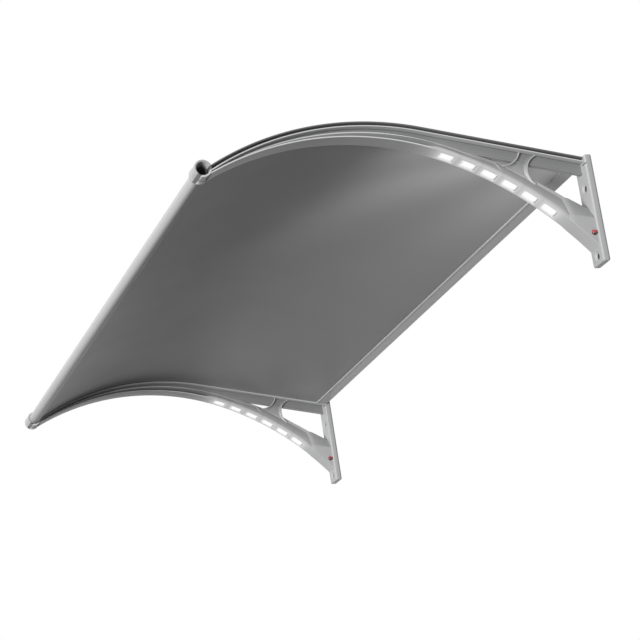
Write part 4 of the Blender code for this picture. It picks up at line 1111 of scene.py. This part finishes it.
def rowTree():
    # copies of one pad along an arc in the (out, up) plane
    tree = Tree("padRow", [("Count", "int"), ("Pitch", "float"), ("Radius", "float"), ("First Angle", "float"),
                           ("Centre Out", "float"), ("Centre Up", "float"), ("Bracket X", "float"),
                           ("Pad", "object"), ("Material", "material")])
    points = tree.node("GeometryNodeMeshLine")
    tree.link(tree.value("Count"), points.inputs["Count"])
    index = tree.node("GeometryNodeInputIndex").outputs[0]
    step = tree.sum("DIVIDE", tree.value("Pitch"), tree.value("Radius"))
    angle = tree.minus(tree.value("First Angle"), tree.times(index, step))
    out = tree.plus(tree.value("Centre Out"), tree.times(tree.value("Radius"), tree.sum("SINE", angle)))
    up = tree.plus(tree.value("Centre Up"), tree.times(tree.value("Radius"), tree.sum("COSINE", angle)))
    place = tree.node("ShaderNodeCombineXYZ")
    for slot, value in enumerate((tree.value("Bracket X"), tree.times(out, -1.0), up)):
        tree.link(value, place.inputs[slot])
    move = tree.node("GeometryNodeSetPosition")
    tree.link(points.outputs[0], move.inputs["Geometry"])
    tree.link(place.outputs[0], move.inputs["Position"])
    turn = tree.node("ShaderNodeCombineXYZ")
    tree.link(angle, turn.inputs[0])
    pad = tree.node("GeometryNodeObjectInfo")
    tree.link(tree.value("Pad"), pad.inputs["Object"])
    copies = tree.node("GeometryNodeInstanceOnPoints")
    tree.link(move.outputs[0], copies.inputs["Points"])
    tree.link(pad.outputs["Geometry"], copies.inputs["Instance"])
    tree.link(turn.outputs[0], copies.inputs["Rotation"])
    real = tree.node("GeometryNodeRealizeInstances")
    tree.link(copies.outputs[0], real.inputs[0])
    paint = tree.node("GeometryNodeSetMaterial")
    tree.link(real.outputs[0], paint.inputs["Geometry"])
    tree.link(tree.value("Material"), paint.inputs["Material"])
    tree.link(paint.outputs[0], tree.target.inputs[0])
    return tree


# lit windows

def makePad():
    # one lens: rounded corners in plan and fine ribs across its outer face
    half = windows["width"] / 2.0 - windows["gap"]
    front = windows["length"] / 2.0 - windows["gap"]
    corner = windows["corner"] - windows["gap"]
    low, high = windows["recess"], windows["depth"] - windows["gap"]
    rings = []
    steps = windows["ribs"] * 6
    for step in range(steps + 1):
        along = -front + 2.0 * front * step / steps   # -y is towards the nose
        inset = max(corner - (along + front), corner - (front - along), 0.0)
        wide = half - (corner - math.sqrt(max(corner * corner - inset * inset, 0.0)))
        wide = max(wide, half - corner + 0.0002)
        rib = windows["ribHeight"] * 0.5 * (1.0 - math.cos(2.0 * math.pi * windows["ribs"] * step / steps))
        section = roundOff([(wide, low + rib), (wide, high), (-wide, high), (-wide, low + rib)], 0.0003, 2)
        rings.append([(x, along, lift) for x, lift in section])
    return loft("pad", rings)


def makeWindows():
    pad = makePad()
    tree = rowTree()
    paint = lensPaint()
    centre = armCentre(line["rearRadius"])
    for side, sign in (("left", -1.0), ("right", 1.0)):
        row = tree.run(side + "Windows", {
            "Count": windows["count"], "Pitch": windows["pitch"], "Radius": line["rearRadius"],
            "First Angle": -line["jointSlope"], "Centre Out": centre.x, "Centre Up": centre.y,
            "Bracket X": sign * halfSpacing, "Pad": pad, "Material": paint})
        soften(row, 40.0)
        dress(row, paint, "canopy", ["%s_lens_%d" % (side, number) for number in range(1, 7)])
    bpy.data.objects.remove(pad, do_unlink=True)
    print("lit windows made")


# panel, tube and rear rail

panel = {"thick": 0.0035, "gap": 0.0003, "rearOut": 0.0145, "edgeGap": 0.001, "tubeEntry": 0.0024,
         "edge": 0.0006,
         "columns": 97, "rows": 181}
tube = {"radius": 0.011, "wall": 0.0015, "low": -0.760, "high": 0.751, "slotEnd": 0.7315}
rear = {"out": 0.009, "lower": 0.0225, "upper": 0.017, "wall": 0.0024, "bead": 0.0013, "gap": 0.0004,
        "half": 0.7276,
        "webOut": 0.013}


def makePanel():
    lift = panel["gap"] + panel["thick"] / 2.0
    radius = line["radius"] + lift
    drop = line["ringLift"] - lift
    reach = math.sqrt(tube["radius"] ** 2 - drop ** 2)
    frontAngle = ringAngle - (reach - panel["tubeEntry"]) / radius
    start = railRear(panel["rearOut"], lift)
    tangent = railPoint(-line["slope"], lift)
    run = (tangent - start).length
    length = run + radius * (frontAngle + line["slope"])
    width = 2.0 * (halfSpacing - rail["core"] / 2.0 - panel["edgeGap"])
    paint = panelPaint()
    sheet = bendTree().run("canopySheet", {
        "Width": width, "Length": length, "Rear Run": run, "Radius": radius, "Centre Out": railCentre.x,
        "Centre Up": railCentre.y, "Slope": line["slope"], "Columns": panel["columns"], "Rows": panel["rows"],
        "Material": paint})
    innerHalf = halfSpacing - ring["mouth"] - 0.0004
    ringReach = math.sqrt((ring["collar"] + 0.0004) ** 2 - drop ** 2)
    cornerAngle = ringAngle - ringReach / radius
    bm = bmesh.new()
    bm.from_mesh(sheet.data)
    for x in (-innerHalf, innerHalf):
        parts = bm.verts[:] + bm.edges[:] + bm.faces[:]
        bmesh.ops.bisect_plane(bm, geom=parts, plane_co=(x, 0, 0), plane_no=(1, 0, 0))
    corner = railPoint(cornerAngle, lift)
    across = pointing(cornerAngle + math.pi / 2.0)
    parts = bm.verts[:] + bm.edges[:] + bm.faces[:]
    bmesh.ops.bisect_plane(bm, geom=parts, plane_co=(0.0, -corner.x, corner.y),
                           plane_no=(0.0, -across.x, across.y))
    gone = []
    for face in bm.faces:
        middle = face.calc_center_median()
        ahead = (Vector((-middle.y, middle.z)) - corner).dot(across)
        if abs(middle.x) > innerHalf and ahead > 0.0:
            gone.append(face)
    bmesh.ops.delete(bm, geom=gone, context="FACES")
    bmesh.ops.recalc_face_normals(bm, faces=bm.faces)
    bm.to_mesh(sheet.data)
    bm.free()
    solid = sheet.modifiers.new("thickness", "SOLIDIFY")
    solid.thickness = panel["thick"]
    solid.offset = 0.0
    edge = sheet.modifiers.new("edge", "BEVEL")
    edge.width = panel["edge"]
    edge.segments = 2
    edge.limit_method = "ANGLE"
    edge.angle_limit = math.radians(50.0)
    sheet = applied(sheet)
    soften(sheet, 40.0)
    dress(sheet, paint, "canopy", ["canopy_panel"])
    print("panel made")


def makeTube():
    centre = railPoint(ringAngle, line["ringLift"])
    outer, inner = tube["radius"], tube["radius"] - tube["wall"]
    low, high = tube["low"], tube["high"]
    profile = roundOff([(outer, high), (outer, low), (inner, low), (inner, high)], 0.0003, 2)
    profile.append(profile[0])
    item = lathe("frontTube", profile, 96, (0.0, -centre.x, centre.y))
    lift = panel["gap"] + panel["thick"] / 2.0
    half = rail["groove"] / 2.0
    radius = line["radius"] + lift
    farAngle, nearAngle = ringAngle - 2.0 * outer / radius, ringAngle - 0.3 * outer / radius
    outline = [railPoint(farAngle, lift - half), railPoint(nearAngle, lift - half),
               railPoint(nearAngle, lift + half), railPoint(farAngle, lift + half)]
    slot = prism("tubeSlot", outline, -tube["slotEnd"], tube["slotEnd"])
    item = cut(item, [slot])
    bpy.data.objects.remove(slot, do_unlink=True)
    soften(item)
    # painted shade: the tube darker on its wall side
    shade = (-centre.x - 0.009, -centre.x + 0.002, 1.0, finishesAndPaintedLight["tubeWallSideShade"])
    dress(item, barPaint("tubeMetal", "tube", (0.02, 1.0, 1.0), shade), "canopy", ["front_tube"])
    print("tube made")


def makeRear():
    bottom = panel["gap"] - rear["gap"]
    top = panel["gap"] + panel["thick"] + rear["gap"]
    front = rear["out"] + rear["lower"]
    upper = rear["out"] + rear["upper"]
    wall, bead = rear["wall"], rear["bead"]
    corners = [railRear(rear["out"], bottom - wall), railRear(front - 0.0030, bottom - wall),
               railRear(front - 0.0025, bottom - wall - bead), railRear(front, bottom - wall - bead),
               railRear(front, bottom), railRear(rear["webOut"], bottom), railRear(rear["webOut"], top),
               railRear(upper, top), railRear(upper, top + wall), railRear(rear["out"], top + wall)]
    radii = [0.0006, 0.0004, 0.0004, 0.0007, 0.0004, 0.0003, 0.0003, 0.0004, 0.0008, 0.0006]
    outline = roundOff(corners, radii, 3)
    item = prism("rearRail", outline, -rear["half"], rear["half"])
    soften(item)
    dress(item, barPaint("railMetal", "rail", (0.02, 1.0, 1.0)), "canopy", ["rear_rail"])
    print("rear rail made")


# buttons and the small pieces

def makeButtons():
    rim, radius, dome = button["rim"], button["radius"], button["dome"]
    turns = [math.pi / 2.0 * step / 14 for step in range(15)]
    profile = [(radius * math.sin(turn), rim + dome * math.cos(turn)) for turn in turns]
    skirt = button["skirt"]
    profile += [(radius, skirt), (0.0056, skirt), (0.0056, skirt - 0.001), (0.0015, skirt - 0.001),
                (0.0015, skirt - 0.0038), (0.0, skirt - 0.0038)]
    shape = lathe("buttonShape", profile, 48, (0.0, -button["out"], button["up"]))
    paint = buttonPaint()
    for side, sign in (("left", -1.0), ("right", 1.0)):
        piece = shifted(shape, side + "Button", (sign * halfSpacing, 0.0, 0.0))
        soften(piece, 40.0)
        dress(piece, paint, side + "_button", [side + "_button_cap"])
    bpy.data.objects.remove(shape, do_unlink=True)
    print("buttons made")


def makeSprings():
    # the drawn coil
    paint = plainPaint("springSteel", (0.55, 0.55, 0.56), 0.3, 1.0, 900.0, (0.1, 1.0, 1.0))
    for side in ("left", "right"):
        node = side + "_button_spring"
        bm = bmesh.new()
        bm.from_mesh(frame["nodes"][node].data)
        piece = fromBmesh(side + "Spring", bm)
        soften(piece, 50.0)
        dress(piece, paint, "canopy", [node])
        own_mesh(piece)
    print("springs made")


def paintSmallPieces():
    looks = {
        "led_strip": plainPaint("lampBoard", (0.80, 0.80, 0.77), 0.5, scale=500.0),
        "battery_cover": bracketPaint("coverPaint", False),
        "cover_screw": plainPaint("screwSteel", (0.52, 0.52, 0.53), 0.32, 1.0, 900.0, (1.0, 0.1, 1.0)),
        "battery_cell": plainPaint("cellSleeve", (0.08, 0.18, 0.48), 0.34, 0.1, 260.0, (0.2, 1.0, 1.0)),
        "battery_holder": plainPaint("holderBlack", (0.035, 0.035, 0.038), 0.52, scale=700.0, spread=0.2),
        "driver_board": plainPaint("boardGreen", (0.02, 0.17, 0.07), 0.42, scale=450.0, spread=0.18),
    }
    nodes = frame["nodes"]
    for side in ("left", "right"):
        for label, paint in looks.items():
            item = nodes[side + "_" + label]
            for slot in item.material_slots:
                slot.material = paint
    if "wall_seal" in nodes:
        paint = plainPaint("sealRubber", (0.028, 0.028, 0.03), 0.68, scale=420.0, stretch=(0.05, 1.0, 1.0),
                           spread=0.2)
        for slot in nodes["wall_seal"].material_slots:
            slot.material = paint
    print("small pieces painted")


makeView()
makeBrackets()
makeWindows()
makePanel()
makeTube()
makeRear()
makeButtons()
makeSprings()
paintSmallPieces()
